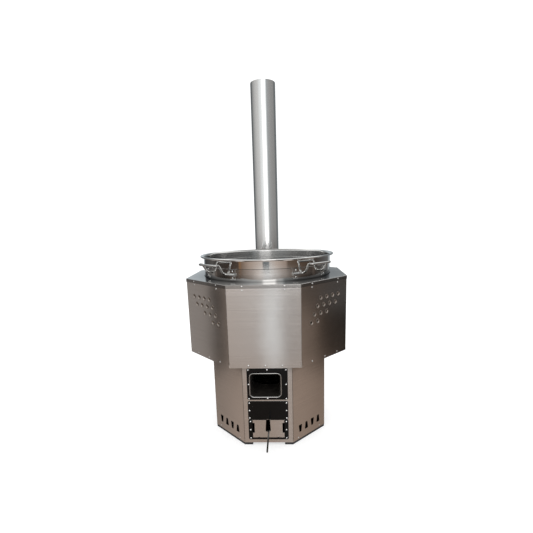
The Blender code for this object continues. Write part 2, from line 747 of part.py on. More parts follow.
def add_runners(stove):
    """Two folded runners on the base pan, with a ledge under the ash tray."""
    floor_z = CABINET_Z + SHEET + GAP
    ledge_z = DRAWER_Z - GAP
    side = TRAY_WIDTH / 2 + DRAWER_CLEARANCE
    profile = [
        (side, floor_z),
        (side + RUNNER_SHEET, floor_z),
        (side + RUNNER_SHEET, ledge_z + RUNNER_GUIDE),
        (side, ledge_z + RUNNER_GUIDE),
        (side, ledge_z),
        (side - RUNNER_LEDGE, ledge_z),
        (side - RUNNER_LEDGE, ledge_z - RUNNER_SHEET),
        (side, ledge_z - RUNNER_SHEET),
    ]
    front = CABINET_APOTHEM - 2 * SHEET - 2 * GAP
    for name, sign in (("right", 1), ("left", -1)):
        outline = [(sign * across, height) for across, height in profile]
        runner = prism([outline], front - TRAY_LENGTH, front)
        add_piece("drawer_runner_" + name, runner, "dark_stainless", stove, upright(0))


def add_drawer(drawer):
    """Ash tray and its bright front, notched for the shaker rod and for the fingers."""
    height = DRAWER_TOP_Z - DRAWER_Z
    face_back = DRAWER_FACE - DRAWER_SHEET
    home = drawer.matrix_local.inverted()
    face = prism([rectangle(DRAWER_WIDTH, height, DRAWER_Z)], 0, DRAWER_SHEET)
    front = add_piece("drawer_front", face, "brushed_stainless", drawer, home @ upright(face_back))
    notch_low = ROD_Z - ROD_RADIUS - NOTCH_BELOW_ROD
    middle = ROD_SIDESTEP + NOTCH_SIDESTEP
    notch = [
        (middle - NOTCH_LOW_HALF, notch_low),
        (middle + NOTCH_LOW_HALF, notch_low),
        (middle + NOTCH_TOP_HALF, DRAWER_TOP_Z + OVERRUN),
        (middle - NOTCH_TOP_HALF, DRAWER_TOP_Z + OVERRUN),
    ]
    lower, upper = notch[:2], notch[2:]
    outline = rounded([upper[1]] + lower + [upper[0]], NOTCH_BELOW_ROD, NOTCH_STEPS, False)
    add_cutter(front, prism([outline], -OVERRUN, OVERRUN))
    finger = rectangle(2 * FINGER_DEPTH, FINGER_HEIGHT, DRAWER_Z + FINGER_RISE)
    drain = disc(DRAIN_RADIUS, -OVERRUN, OVERRUN, ROD_SEGMENTS)
    for sign in (1, -1):
        hold = prism([rounded(finger, FINGER_CORNER, SMALL_STEPS)], -OVERRUN, OVERRUN)
        add_cutter(front, hold, Matrix.Translation((sign * DRAWER_WIDTH / 2, 0, 0)))
        add_cutter(front, drain.copy(), Matrix.Translation((sign * DRAIN_SPREAD, DRAWER_Z, 0)))
    tray = bmesh.new()
    scale = Matrix.Diagonal((TRAY_WIDTH, TRAY_LENGTH, TRAY_DEPTH, 1))
    tray_y = -face_back + GAP + TRAY_LENGTH / 2
    place = Matrix.Translation((0, tray_y, DRAWER_Z + TRAY_DEPTH / 2))
    bmesh.ops.create_cube(tray, size=1, matrix=home @ place @ scale)
    lid = max(tray.faces, key=lambda face: face.calc_center_median().z)
    bmesh.ops.delete(tray, geom=[lid], context="FACES_ONLY")
    mesh = bpy.data.meshes.new("ash_tray")
    tray.to_mesh(mesh)
    tray.free()
    pan = add_piece("ash_tray", mesh, "dark_stainless", drawer)
    walls = pan.modifiers.new("thickness", "SOLIDIFY")
    walls.thickness = TRAY_WALL
    walls.offset = -1
    walls.use_even_offset = True


def add_grate(grate):
    """Slotted grate on its rails, with the strap and the rod that shake it."""
    home = grate.matrix_local.inverted()
    plate = rectangle(GRATE_WIDTH, GRATE_LENGTH, -GRATE_LENGTH / 2)
    outlines = [plate]
    slot_width = GRATE_WIDTH - 2 * RAIL_LEDGE - 2 * GRATE_SLOT
    for number in range(GRATE_SLOT_COUNT):
        low = (number - (GRATE_SLOT_COUNT - 1) / 2) * GRATE_SLOT_PITCH - GRATE_SLOT / 2
        slot = rectangle(slot_width, GRATE_SLOT, low)
        outlines.append(rounded(slot, GRATE_SLOT / 2 - GAP, SMALL_STEPS))
    bars = prism(outlines, GRATE_Z, GRATE_Z + GRATE_SHEET)
    add_piece("grate", bars, "fire_steel", grate, home)
    strap_low = ROD_Z - ROD_RADIUS - ROD_OVER_TRAY / 2
    strap_high = GRATE_Z - GAP
    strap_y = -GRATE_LENGTH / 2 + STRAP_SHEET
    middle = (ROD_SIDESTEP, strap_y, (strap_low + strap_high) / 2)
    strap = box(STRAP_WIDTH, STRAP_SHEET, strap_high - strap_low, middle)
    add_piece("grate_strap", strap, "fire_steel", grate, home)
    strap_front = -strap_y + STRAP_SHEET / 2
    rod_start = strap_front + GAP
    nut = bpy.data.meshes.new("rod_nut")
    work = bmesh.new()
    bmesh.ops.create_cone(
        work,
        cap_ends=True,
        segments=NUT_SIDES,
        radius1=NUT_ACROSS / 2 / cos(pi / NUT_SIDES),
        radius2=NUT_ACROSS / 2 / cos(pi / NUT_SIDES),
        depth=NUT_HEIGHT,
    )
    work.to_mesh(nut)
    work.free()
    nut_piece = add_piece(
        "rod_nut",
        nut,
        "bright_zinc",
        grate,
        home @ upright(rod_start + NUT_HEIGHT / 2, ROD_SIDESTEP, ROD_Z),
    )
    add_cutter(nut_piece, disc(ROD_RADIUS + GAP, -NUT_HEIGHT, NUT_HEIGHT, ROD_SEGMENTS))
    profile = arc((0, ROD_TIP - ROD_RADIUS), ROD_RADIUS, pi / 2, 0, ROD_END_STEPS)
    profile[0] = (0, ROD_TIP)
    profile += [(ROD_RADIUS, rod_start), (0, rod_start)]
    rod = turned(profile, ROD_SEGMENTS)
    add_piece("shaker_rod", rod, "black_enamel", grate, home @ upright(0, ROD_SIDESTEP, ROD_Z))


def pot_profile():
    """Section of the cauldron, from the middle of its floor up the bore, over the rim and down."""
    bore = POT_RADIUS - POT_WALL
    upper_bore = bore + POT_BAND_STEP
    band_z = TOP_Z + POT_BAND_RISE
    knuckle = (POT_RADIUS - POT_KNUCKLE, POT_BOTTOM_Z + POT_KNUCKLE)
    flare = (upper_bore + POT_FLARE, RIM_Z - POT_FLARE)
    bead = (POT_RIM_RADIUS - POT_BEAD, RIM_Z - POT_BEAD)
    points = [(0, POT_BOTTOM_Z + POT_WALL)]
    points += arc(knuckle, POT_KNUCKLE - POT_WALL, -pi / 2, 0, CORNER_STEPS)
    points += [(bore, band_z - POT_BAND_STEP), (upper_bore, band_z)]
    points += arc(flare, POT_FLARE, pi, pi / 2, CORNER_STEPS)
    points += arc(bead, POT_BEAD, pi / 2, -pi / 2, POT_BEAD_STEPS)
    points.append((bead[0] - POT_BEAD / 2, RIM_Z - POT_WALL))
    points += arc(flare, POT_FLARE - POT_WALL, pi / 2, pi, CORNER_STEPS)
    points += [(upper_bore + POT_WALL, band_z), (POT_RADIUS, band_z - POT_BAND_STEP)]
    points += arc(knuckle, POT_KNUCKLE, 0, -pi / 2, CORNER_STEPS)
    points.append((0, POT_BOTTOM_Z))
    return points


def handle_path():
    """Half a handle's line and its mirror: along the wall, out, up and across the grip."""
    low_z = TOP_Z + HANDLE_LOW_RISE
    grip_z = TOP_Z + HANDLE_GRIP_RISE
    foot = around(HANDLE_FOOT_TURN, HANDLE_MOUNT_RADIUS, low_z)
    grip_end = Vector((HANDLE_GRIP / 2, -POT_RADIUS - HANDLE_REACH, grip_z))
    out = foot.lerp(grip_end, HANDLE_OUT_SHARE)
    out.z = low_z + (grip_z - low_z) * HANDLE_OUT_RISE_SHARE
    up = foot.lerp(grip_end, HANDLE_UP_SHARE)
    up.z = grip_z
    middle_turn = (HANDLE_END_TURN + HANDLE_FOOT_TURN) / 2
    clear_of_wall = HANDLE_MOUNT_RADIUS / cos((HANDLE_END_TURN - HANDLE_FOOT_TURN) / 4)
    half = [
        around(HANDLE_END_TURN, HANDLE_MOUNT_RADIUS, low_z),
        around(middle_turn, clear_of_wall, low_z),
        foot,
        out,
        up,
        grip_end,
    ]
    other = [Vector((-point.x, point.y, point.z)) for point in reversed(half)]
    return rounded(half + other, HANDLE_BEND, SMALL_STEPS, False)


def saddle():
    """A strap bent over the handle's bar, with a flat lug above and below."""
    hold = HANDLE_BAR_RADIUS + GAP
    outer = hold + SADDLE_SHEET
    face = GAP + SADDLE_SHEET
    centre = (GAP + HANDLE_BAR_RADIUS, 0)
    outline = [(GAP, -outer - SADDLE_LUG), (face, -outer - SADDLE_LUG), (face, -outer)]
    outline += arc(centre, outer, -pi / 2, pi / 2, SADDLE_STEPS)
    outline += [(face, outer), (face, outer + SADDLE_LUG), (GAP, outer + SADDLE_LUG), (GAP, hold)]
    outline += arc(centre, hold, pi / 2, -pi / 2, SADDLE_STEPS)
    outline.append((GAP, -hold))
    return prism([outline], -SADDLE_WIDTH / 2, SADDLE_WIDTH / 2)


def at_wall(turn, radius, height):
    """Axes at the cauldron's wall: X outwards, Y up, Z along the wall."""
    outwards = around(turn, 1)
    along = outwards.cross(Vector((0, 0, 1)))
    axes = Matrix((outwards, Vector((0, 0, 1)), along)).transposed().to_4x4()
    return Matrix.Translation(around(turn, radius, height)) @ axes


def add_cauldron(cauldron):
    """Cauldron with four fixed handles in riveted saddles."""
    home = cauldron.matrix_local.inverted()
    add_piece("pot_body", turned(pot_profile(), POT_SEGMENTS), "polished_stainless", cauldron, home)
    path = handle_path()
    saddle_mesh = saddle()
    low_z = TOP_Z + HANDLE_LOW_RISE
    for name, turn in zip(HANDLE_NAMES, HANDLE_TURNS):
        grip = bar("pot_handle_" + name, path, HANDLE_BAR_RADIUS, SMALL_STEPS)
        place = home @ Matrix.Rotation(turn, 4, "Z")
        add_piece("pot_handle_" + name, grip, "polished_stainless", cauldron, place)
        for side, sign in (("a", 1), ("b", -1)):
            mount = at_wall(turn + sign * HANDLE_SADDLE_TURN, POT_RADIUS, low_z)
            saddle_name = "handle_saddle_" + name + "_" + side
            add_piece(saddle_name, saddle_mesh.copy(), "polished_stainless", cauldron, home @ mount)


def elbow_mesh():
    """Lofted rings of the elbow: out of the housing, round to upright, with a bead under the pipe."""
    rings = [(Vector((0, ELBOW_START_Y, 0)), 0.0, ELBOW_RADIUS)]
    bend_y = ELBOW_START_Y + ELBOW_STRAIGHT
    for y, z in arc((bend_y, ELBOW_BEND), ELBOW_BEND, -pi / 2, 0, ELBOW_STEPS):
        angle = (len(rings) - 1) * pi / 2 / ELBOW_STEPS
        rings.append((Vector((0, y, z)), angle, ELBOW_RADIUS))
    for rise, extra in ((1, 0), (2, 1), (3, 1), (4, 0)):
        middle = Vector((0, CHIMNEY_Y, ELBOW_BEND + rise * ELBOW_BEAD))
        rings.append((middle, pi / 2, ELBOW_RADIUS + extra * ELBOW_BEAD))
    spigot_top = ELBOW_BEND + 4 * ELBOW_BEAD + ELBOW_SPIGOT
    rings.append((Vector((0, CHIMNEY_Y, spigot_top)), pi / 2, ELBOW_RADIUS))
    work = bmesh.new()
    loops = []
    for middle, angle, radius in rings:
        upward = Vector((0, -sin(angle), cos(angle)))
        loop = []
        for number in range(PIPE_SEGMENTS):
            turn = 2 * pi * number / PIPE_SEGMENTS
            spoke = cos(turn) * Vector((1, 0, 0)) + sin(turn) * upward
            loop.append(work.verts.new(middle + radius * spoke))
        loops.append(loop)
    for near, far in zip(loops, loops[1:]):
        for number in range(PIPE_SEGMENTS):
            after = (number + 1) % PIPE_SEGMENTS
            work.faces.new((near[number], far[number], far[after], near[after]))
    mesh = bpy.data.meshes.new("elbow")
    work.to_mesh(mesh)
    work.free()
    return mesh


def add_flue(stove, chimney):
    """Collar through the back panel, its flange, the elbow and the chimney pipe."""
    outward = Matrix.Translation((FLUE_SIDESTEP, 0, FLUE_Z)) @ Matrix.Rotation(-pi / 2, 4, "X")
    collar_radius = ELBOW_RADIUS - PIPE_WALL - GAP
    collar_end = ELBOW_START_Y + COLLAR_LAP
    tube = turned(tube_profile(collar_radius, PIPE_WALL, 0, collar_end), PIPE_SEGMENTS)
    collar = add_piece("flue_collar", tube, "fire_steel", stove, outward)
    core = disc(LINER_RADIUS + GAP, -2 * PIPE_RADIUS, 2 * PIPE_RADIUS, LINER_SEGMENTS)
    add_cutter(collar, core, outward.inverted() @ Matrix.Translation((0, 0, FLUE_Z)))
    ring_low = HOUSING_APOTHEM + GAP
    ring = turned(
        tube_profile(ELBOW_RADIUS + FLANGE_WIDTH, FLANGE_WIDTH - GAP, ring_low, ring_low + FLANGE_SHEET),
        PIPE_SEGMENTS,
    )
    add_piece("flue_flange", ring, "brushed_stainless", stove, outward)
    at_flue = Matrix.Translation((FLUE_SIDESTEP, 0, FLUE_Z))
    elbow = add_piece("flue_elbow", elbow_mesh(), "brushed_stainless", stove, at_flue)
    wall = elbow.modifiers.new("thickness", "SOLIDIFY")
    wall.thickness = PIPE_WALL
    wall.offset = -1
    wall.use_even_offset = True
    home = chimney.matrix_local.inverted()
    pipe = turned(tube_profile(PIPE_RADIUS, PIPE_WALL, CHIMNEY_LOW_Z, PIPE_TOP), PIPE_SEGMENTS)
    stand = home @ Matrix.Translation((FLUE_SIDESTEP, CHIMNEY_Y, 0))
    add_piece("chimney_pipe", pipe, "polished_stainless", chimney, stand)


def main():
    """Build the stove, each moving body under an empty on its joint's axis."""
    stove = new_empty("stove", (0, AXIS_Y, 0))
    bodies = {}
    for name, place in (
        ("cauldron", (0, 0, TOP_Z)),
        ("ash_drawer", (0, -CABINET_APOTHEM, DRAWER_Z)),
        ("shaker_grate", (ROD_SIDESTEP, -CABINET_APOTHEM, ROD_Z)),
        ("chimney", (FLUE_SIDESTEP, CHIMNEY_Y, CHIMNEY_LOW_Z)),
    ):
        bodies[name] = new_empty(name, place)
        bodies[name].parent = stove
    bpy.context.view_layer.update()
    add_feet(stove)
    add_cabinet(stove)
    add_housing(stove)
    add_fireplace(stove)
    add_front_plates(stove)
    add_runners(stove)
    add_drawer(bodies["ash_drawer"])
    add_grate(bodies["shaker_grate"])
    add_cauldron(bodies["cauldron"])
    add_flue(stove, bodies["chimney"])


main()
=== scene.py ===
"""Looks of a wood-fired cauldron stove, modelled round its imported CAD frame."""

import json
from math import cos, pi, radians, sin, tan

import bmesh
import bpy
from mathutils import Matrix, Vector

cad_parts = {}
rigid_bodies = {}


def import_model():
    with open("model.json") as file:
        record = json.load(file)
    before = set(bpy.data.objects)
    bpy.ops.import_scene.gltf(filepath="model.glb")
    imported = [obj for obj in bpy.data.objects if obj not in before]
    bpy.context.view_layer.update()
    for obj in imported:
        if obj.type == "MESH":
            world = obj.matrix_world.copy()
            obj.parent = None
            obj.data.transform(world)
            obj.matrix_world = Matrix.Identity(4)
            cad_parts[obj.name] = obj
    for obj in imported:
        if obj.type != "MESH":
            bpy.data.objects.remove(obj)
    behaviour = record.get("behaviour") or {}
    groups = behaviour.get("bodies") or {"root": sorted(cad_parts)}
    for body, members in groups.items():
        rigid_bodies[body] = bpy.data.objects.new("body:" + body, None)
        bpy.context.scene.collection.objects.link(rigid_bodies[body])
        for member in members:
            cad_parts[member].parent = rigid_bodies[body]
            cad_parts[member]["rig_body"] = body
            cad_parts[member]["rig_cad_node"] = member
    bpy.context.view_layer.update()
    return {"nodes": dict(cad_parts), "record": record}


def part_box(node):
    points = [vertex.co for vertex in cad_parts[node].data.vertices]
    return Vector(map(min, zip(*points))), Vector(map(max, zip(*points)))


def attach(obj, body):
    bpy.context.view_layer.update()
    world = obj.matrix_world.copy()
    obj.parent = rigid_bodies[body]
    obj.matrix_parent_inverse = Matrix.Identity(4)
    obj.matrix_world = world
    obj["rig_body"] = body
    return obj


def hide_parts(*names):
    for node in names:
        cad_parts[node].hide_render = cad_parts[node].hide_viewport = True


bl_info = {
    "name": "Cauldron stove",
    "version": (1, 0, 0),
    "blender": (4, 5, 0),
    "location": "3D View > Sidebar > Stove",
    "description": "Models the casings, cauldron, plates, flue and finishes of a wood-fired cauldron stove",
    "category": "Add Mesh",
}

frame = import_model()

# Octagon that both casings share, its faces counted anticlockwise from the front
SIDES = 8
TURN = 2 * pi / SIDES
HALF_TURN = TURN / 2
FACE_NAMES = ("front", "front_right", "right", "back_right", "back", "back_left", "left", "front_left")
DIAGONAL_NAMES = FACE_NAMES[1::2]
FRONT, FRONT_RIGHT, BACK, FRONT_LEFT = 0, 1, 4, 7

# Places and sizes read from the frame
POT_LOW, POT_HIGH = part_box("pot_body")
HOUSING_LOW, HOUSING_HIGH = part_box("housing_panel_front")
CABINET_LOW, CABINET_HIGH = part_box("cabinet_panel_front")
TOP_LOW, TOP_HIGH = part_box("top_plate")
FEED_LOW, FEED_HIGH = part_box("feed_frame")
BLANK_LOW, BLANK_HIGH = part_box("blanking_plate")
FRAME_LOW, FRAME_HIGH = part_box("drawer_frame")
DRAWER_LOW, DRAWER_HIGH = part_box("drawer_front")
RIM_LOW, RIM_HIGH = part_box("feed_rim")
ROD_LOW, ROD_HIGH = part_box("shaker_rod")
PIPE_LOW, PIPE_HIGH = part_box("chimney_pipe")
FLANGE_LOW, FLANGE_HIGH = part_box("flue_flange")
ELBOW_LOW, ELBOW_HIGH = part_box("flue_elbow")
AXIS_Y = (POT_LOW.y + POT_HIGH.y) / 2
AXIS = Vector((0, AXIS_Y, 0))
RIM_RADIUS = (POT_HIGH.x - POT_LOW.x) / 2
RIM_Z = POT_HIGH.z
TOP_Z = TOP_HIGH.z
HOUSING_APOTHEM = AXIS_Y - HOUSING_LOW.y
CABINET_APOTHEM = AXIS_Y - CABINET_LOW.y
TOP_APOTHEM = AXIS_Y - TOP_LOW.y
PIPE_RADIUS = (PIPE_HIGH.x - PIPE_LOW.x) / 2
PIPE_X = (PIPE_HIGH.x + PIPE_LOW.x) / 2
PIPE_Y = (PIPE_HIGH.y + PIPE_LOW.y) / 2
FLUE_Z = (FLANGE_HIGH.z + FLANGE_LOW.z) / 2
FLANGE_RADIUS = (FLANGE_HIGH.x - FLANGE_LOW.x) / 2
ROD_RADIUS = (ROD_HIGH.x - ROD_LOW.x) / 2
ROD_X = (ROD_HIGH.x + ROD_LOW.x) / 2
ROD_Z = (ROD_HIGH.z + ROD_LOW.z) / 2

# Gap between neighbouring pieces, reach of cutters past what they cut, and distance at which corners merge
CLEAR = 0.0003
OVERRUN = 0.006
MERGE = 0.00001

# Rounding of the edges of sheets and small pieces
SHEET_EDGE = 0.0003
STRAP_EDGE = 0.0004
DRAWER_EDGE = 0.0004
HANDLE_EDGE = 0.0008
RAIL_EDGE = 0.0012

# Steps round the turned pieces and the round holes
HEAD_STEPS = 14
ROD_STEPS = 24
VENT_STEPS = 24
FLUE_HOLE_STEPS = 64
FLUE_STEPS = 72
PIPE_STEPS = 96
POT_STEPS = 144
THROAT_STEPS = 160

# Angle up to which faces shade as one, and the turn that makes a level piece face the front
SMOOTH_ANGLE = radians(34)
UPRIGHT = (pi / 2, 0, 0)


def length(name, description, default):
    """A size in metres that a user would change."""
    return bpy.props.FloatProperty(
        name=name, description=description, default=default, precision=4, unit="LENGTH", subtype="DISTANCE"
    )


def colour(name, description, default):
    """A colour that a user would change."""
    return bpy.props.FloatVectorProperty(
        name=name, description=description, default=default, size=3, subtype="COLOR", min=0.0, max=1.0
    )


class StoveCasing(bpy.types.PropertyGroup):
    """Sizes of the folded panels and the top plate."""

    sheet: length("Sheet", "Thickness of the casing sheet", 0.0015)
    fold: length("Fold", "Depth of the edges folded in at each corner", 0.014)
    fold_radius: length("Fold radius", "Outer radius of a folded corner", 0.0016)
    fold_lift: length("Fold lift", "How far the folds stay clear of the floor pan", 0.021)
    top_radius: length("Top plate radius", "Radius of the top plate's outer edge", 0.0022)
    throat_gap: length("Throat gap", "Gap between the cauldron and the hole in the top plate", 0.0025)
    vent_radius: length("Vent radius", "Radius of a pressed vent dish", 0.0095)
    vent_hole: length("Vent hole", "Radius of the hole in a vent dish", 0.0035)
    vent_depth: length("Vent depth", "Depth of a vent dish", 0.0013)
    vent_lip: length("Vent lip", "Height of the lip round a vent dish", 0.0010)
    vent_pitch: length("Vent pitch", "Distance between vents in a row", 0.042)
    vent_row_pitch: length("Vent row pitch", "Distance between rows of vents", 0.0345)
    vent_start: length("Vent start", "From the panel's edge to the first vent of the top row", 0.127)
    vent_drop: length("Vent drop", "From the housing's top edge to the top row of vents", 0.0765)
    slot_pitch: length("Slot pitch", "Distance between air slots", 0.0445)
    slot_height: length("Slot height", "Height of an air slot", 0.038)
    slot_rise: length("Slot rise", "Height of the slots above the foot of the cabinet", 0.035)
    slot_wide: length("Slot wide side", "Width of a slot at its wide end", 0.024)
    slot_narrow: length("Slot narrow side", "Width of a slot at its narrow end", 0.014)
    slot_corner: length("Slot corner", "Corner radius of a slot", 0.003)


class StoveCauldron(bpy.types.PropertyGroup):
    """Sizes of the cauldron, its handles and their saddles."""

    radius: length("Cauldron radius", "Outer radius of the cauldron's wall", 0.322)
    wall: length("Wall", "Thickness of the cauldron's wall", 0.002)
    bead: length("Rim bead", "Radius of the rolled bead round the rim", 0.004)
    flare: length("Flare", "Radius of the turn from the wall to the rim", 0.012)
    knuckle: length("Knuckle", "Radius of the turn from the wall to the floor", 0.040)
    band_rise: length("Band rise", "Height of the polished band above the top plate", 0.057)
    band_step: length("Band step", "How far the polished band stands in from the wall", 0.0015)
    bar_radius: length("Handle bar", "Radius of the handles' round bar", 0.005)
    bend: length("Handle bend", "Radius of the handles' bends", 0.016)
    handle_low: length("Handle foot", "Height of the handles' feet above the top plate", 0.031)
    handle_high: length("Handle grip", "Height of the handles' grips above the top plate", 0.075)
    grip_half: length("Grip half length", "Half the length of a handle's grip", 0.064)
    grip_reach: length("Grip reach", "How far a grip stands out from the cauldron's wall", 0.063)
    saddle_width: length("Saddle width", "Width of the straps that hold the handles", 0.024)
    saddle_lug: length("Saddle lug", "Length of the flat above and below a strap's hump", 0.016)
    saddle_sheet: length("Saddle sheet", "Thickness of the straps", 0.002)


class StoveFittings(bpy.types.PropertyGroup):
    """Sizes of the plates, the drawer and the fasteners."""

    plate_corner: length("Plate corner", "Corner radius of the black plates", 0.007)
    plate_edge: length("Plate edge", "Rounding of the black plates' front edges", 0.0007)
    rim_bar: length("Feed rim", "Radius of the bright bar round the fuel feed", 0.003)
    feed_corner: length("Feed corner", "Corner radius of the fuel feed", 0.022)
    plate_screw: length("Plate screw", "Radius of the screw heads on the black plates", 0.0044)
    panel_screw: length("Panel screw", "Radius of the screw heads on the casing", 0.0038)
    rivet: length("Rivet", "Radius of the rivet heads on the saddles", 0.004)


class StoveFinish(bpy.types.PropertyGroup):
    """Colours of the finishes."""

    brushed: colour("Brushed steel", "Colour of the brushed stainless panels", (0.60, 0.58, 0.56))
    bright: colour("Bright steel", "Colour of the polished stainless parts", (0.73, 0.725, 0.71))
    # The vents' colour is darker than the brushed steel: painted shade in the hollows of the dishes
    vent: colour("Vents", "Colour of the pressed vent dishes", (0.40, 0.35, 0.31))
    enamel: colour("Enamel", "Colour of the black plates", (0.0022, 0.0023, 0.0024))
    soot: colour("Fire steel", "Colour of the steel inside the fire chamber", (0.055, 0.047, 0.040))
    rubber: colour("Rubber", "Colour of the foot rails", (0.018, 0.018, 0.019))
    zinc: colour("Zinc", "Colour of the plated screws", (0.74, 0.74, 0.73))
    floor: colour("Floor", "Colour of the floor", (0.92, 0.92, 0.92))


class StoveStudio(bpy.types.PropertyGroup):
    """Camera and light."""

    lens: bpy.props.FloatProperty(
        name="Lens", description="Focal length of the camera", default=24.252, unit="CAMERA"
    )
    yaw: bpy.props.FloatProperty(
        name="Yaw", description="Turn of the camera to the right", default=radians(-2.629), subtype="ANGLE"
    )
    pitch: bpy.props.FloatProperty(
        name="Pitch", description="Tilt of the camera down", default=radians(11.199), subtype="ANGLE"
    )
    roll: bpy.props.FloatProperty(
        name="Roll", description="Roll of the camera", default=radians(-1.539), subtype="ANGLE"
    )
    key: bpy.props.FloatProperty(
        name="Key light", description="Power of the soft light overhead", default=60.0, min=0.0, unit="POWER"
    )


# Work on meshes, in edit mode and with modifiers


def let_go():
    """Select nothing."""
    bpy.ops.object.select_all(action="DESELECT")


def hold(piece):
    """Select one piece alone and make it active."""
    let_go()
    piece.select_set(True)
    bpy.context.view_layer.objects.active = piece


def fresh(name):
    """The piece that was just made, under its name."""
    piece = bpy.context.object
    piece.name = name
    piece.data.name = name
    return piece


def drop(*pieces):
    """Take masters and cutters away."""
    for piece in pieces:
        bpy.data.objects.remove(piece)


def open_piece(piece, action="DESELECT"):
    """Enter edit mode on one piece, with nothing or all of it selected."""
    hold(piece)
    bpy.ops.object.mode_set(mode="EDIT")
    bpy.ops.mesh.select_all(action=action)


def close_piece():
    """Leave edit mode."""
    bpy.ops.object.mode_set(mode="OBJECT")


def pick(kind, test):
    """Select the corners, edges or faces that a test accepts."""
    bpy.ops.mesh.select_mode(type=kind)
    bpy.ops.mesh.select_all(action="DESELECT")
    mesh = bmesh.from_edit_mesh(bpy.context.object.data)
    for item in {"VERT": mesh.verts, "EDGE": mesh.edges, "FACE": mesh.faces}[kind]:
        if test(item):
            item.select_set(True)
    mesh.select_flush_mode()
    bmesh.update_edit_mesh(bpy.context.object.data)


def middle(edge):
    """Middle of an edge."""
    return (edge.verts[0].co + edge.verts[1].co) / 2


def apply_place(piece):
    """Move a piece's place into its mesh."""
    hold(piece)
    bpy.ops.object.transform_apply(location=True, rotation=True, scale=True)


def modify(piece, kind, **values):
    """Add a modifier, set it and apply it."""
    hold(piece)
    modifier = piece.modifiers.new(kind.lower(), kind)
    for name, value in values.items():
        setattr(modifier, name, value)
    bpy.ops.object.modifier_apply(modifier=modifier.name)


def thicken(piece, thickness):
    """Give a sheet its thickness, inwards from its outer face."""
    modify(piece, "SOLIDIFY", thickness=thickness, offset=-1, use_even_offset=True)


def ease_edges(piece, width, steps=1, angle=radians(50)):
    """Break the sharp edges of a piece."""
    modify(piece, "BEVEL", width=width, segments=steps, limit_method="ANGLE", angle_limit=angle)


def smooth(piece, weighted=False):
    """Shade a piece smooth, with its sharp edges kept."""
    hold(piece)
    bpy.ops.object.shade_smooth_by_angle(angle=SMOOTH_ANGLE)
    if weighted:
        modify(piece, "WEIGHTED_NORMAL", keep_sharp=True, weight=80)


def tidy_mesh(piece):
    """Merge corners that meet and turn the faces outwards."""
    open_piece(piece, "SELECT")
    bpy.ops.mesh.remove_doubles(threshold=MERGE)
    bpy.ops.mesh.normals_make_consistent(inside=False)
    close_piece()


def face_outwards(piece, faces, outward):
    """Flip a sheet whose faces look inwards, by a measure that is positive for a face looking outwards."""
    if sum(outward(face) * face.area for face in faces) < 0:
        open_piece(piece, "SELECT")
        bpy.ops.mesh.flip_normals()
        close_piece()


def cap(piece):
    """Fill the open end of a turned head."""
    open_piece(piece)
    pick("EDGE", lambda edge: len(edge.link_faces) == 1)
    bpy.ops.mesh.edge_face_add()
    close_piece()
    tidy_mesh(piece)


def coat(piece, finish, test):
    """Give the faces that a test accepts another of the piece's finishes, by its number."""
    open_piece(piece)
    pick("FACE", test)
    piece.active_material_index = finish
    bpy.ops.object.material_slot_assign()
    close_piece()


def cut(piece, tool, operation="DIFFERENCE"):
    """Cut a tool out of a piece, or join it on, and take the tool away."""
    modify(piece, "BOOLEAN", operation=operation, object=tool, solver="EXACT")
    drop(tool)


def cylinder(sides, radius, depth, place, rotation=(0, 0, 0)):
    """A round or many-sided block, to shape further or to cut with."""
    let_go()
    bpy.ops.mesh.primitive_cylinder_add(
        vertices=sides, radius=radius, depth=depth, location=place, rotation=rotation
    )
    block = bpy.context.object
    apply_place(block)
    return block


def bore(piece, sides, radius, place, rotation=(0, 0, 0)):
    """Cut a round hole through a sheet."""
    cut(piece, cylinder(sides, radius, 4 * OVERRUN, place, rotation))
    smooth(piece, True)


def punch(piece, outline, front, back):
    """Cut an upright outline right through a piece."""
    cut(piece, slab("punch", outline, front - OVERRUN, back + OVERRUN))


def draw_line(name, points, closed=False):
    """Draw a line corner by corner, from a plane merged to one point. Edit mode stays open."""
    let_go()
    points = [Vector(point) for point in points]
    bpy.ops.mesh.primitive_plane_add(size=0.01)
    piece = fresh(name)
    bpy.ops.object.mode_set(mode="EDIT")
    bpy.ops.mesh.select_mode(type="VERT")
    bpy.ops.mesh.select_all(action="SELECT")
    bpy.ops.mesh.merge(type="CENTER")
    bpy.ops.transform.translate(value=points[0])
    for near, far in zip(points, points[1:]):
        bpy.ops.mesh.extrude_vertices_move(TRANSFORM_OT_translate={"value": far - near})
    if closed:
        ends = (points[0], points[-1])
        pick("VERT", lambda v: min((v.co - end).length for end in ends) < MERGE)
        bpy.ops.mesh.edge_face_add()
    bpy.ops.mesh.select_all(action="SELECT")
    return piece


def slab(name, outline, front, back):
    """A flat piece: an upright outline of (x, z), filled and drawn out to its thickness."""
    piece = draw_line(name, [(x, front, z) for x, z in outline], True)
    bpy.ops.mesh.edge_face_add()
    bpy.ops.mesh.extrude_region_move(TRANSFORM_OT_translate={"value": (0, back - front, 0)})
    close_piece()
    tidy_mesh(piece)
    return piece


def spun(name, points, steps, centre=AXIS, axis=(0, 0, 1)):
    """A turned piece: a line spun about an axis."""
    piece = draw_line(name, points)
    bpy.ops.mesh.spin(steps=steps, angle=2 * pi, center=centre, axis=axis)
    close_piece()
    tidy_mesh(piece)
    return piece


def round_bar(name, points, radius, sides, closed=False):
    """A round bar along a line of points."""
    piece = draw_line(name, points, closed)
    close_piece()
    hold(piece)
    bpy.ops.object.convert(target="CURVE")
    piece = bpy.context.object
    piece.data.dimensions = "3D"
    piece.data.bevel_depth = radius
    piece.data.bevel_resolution = sides
    piece.data.use_fill_caps = not closed
    bpy.ops.object.convert(target="MESH")
    piece = bpy.context.object
    tidy_mesh(piece)
    smooth(piece)
    return piece


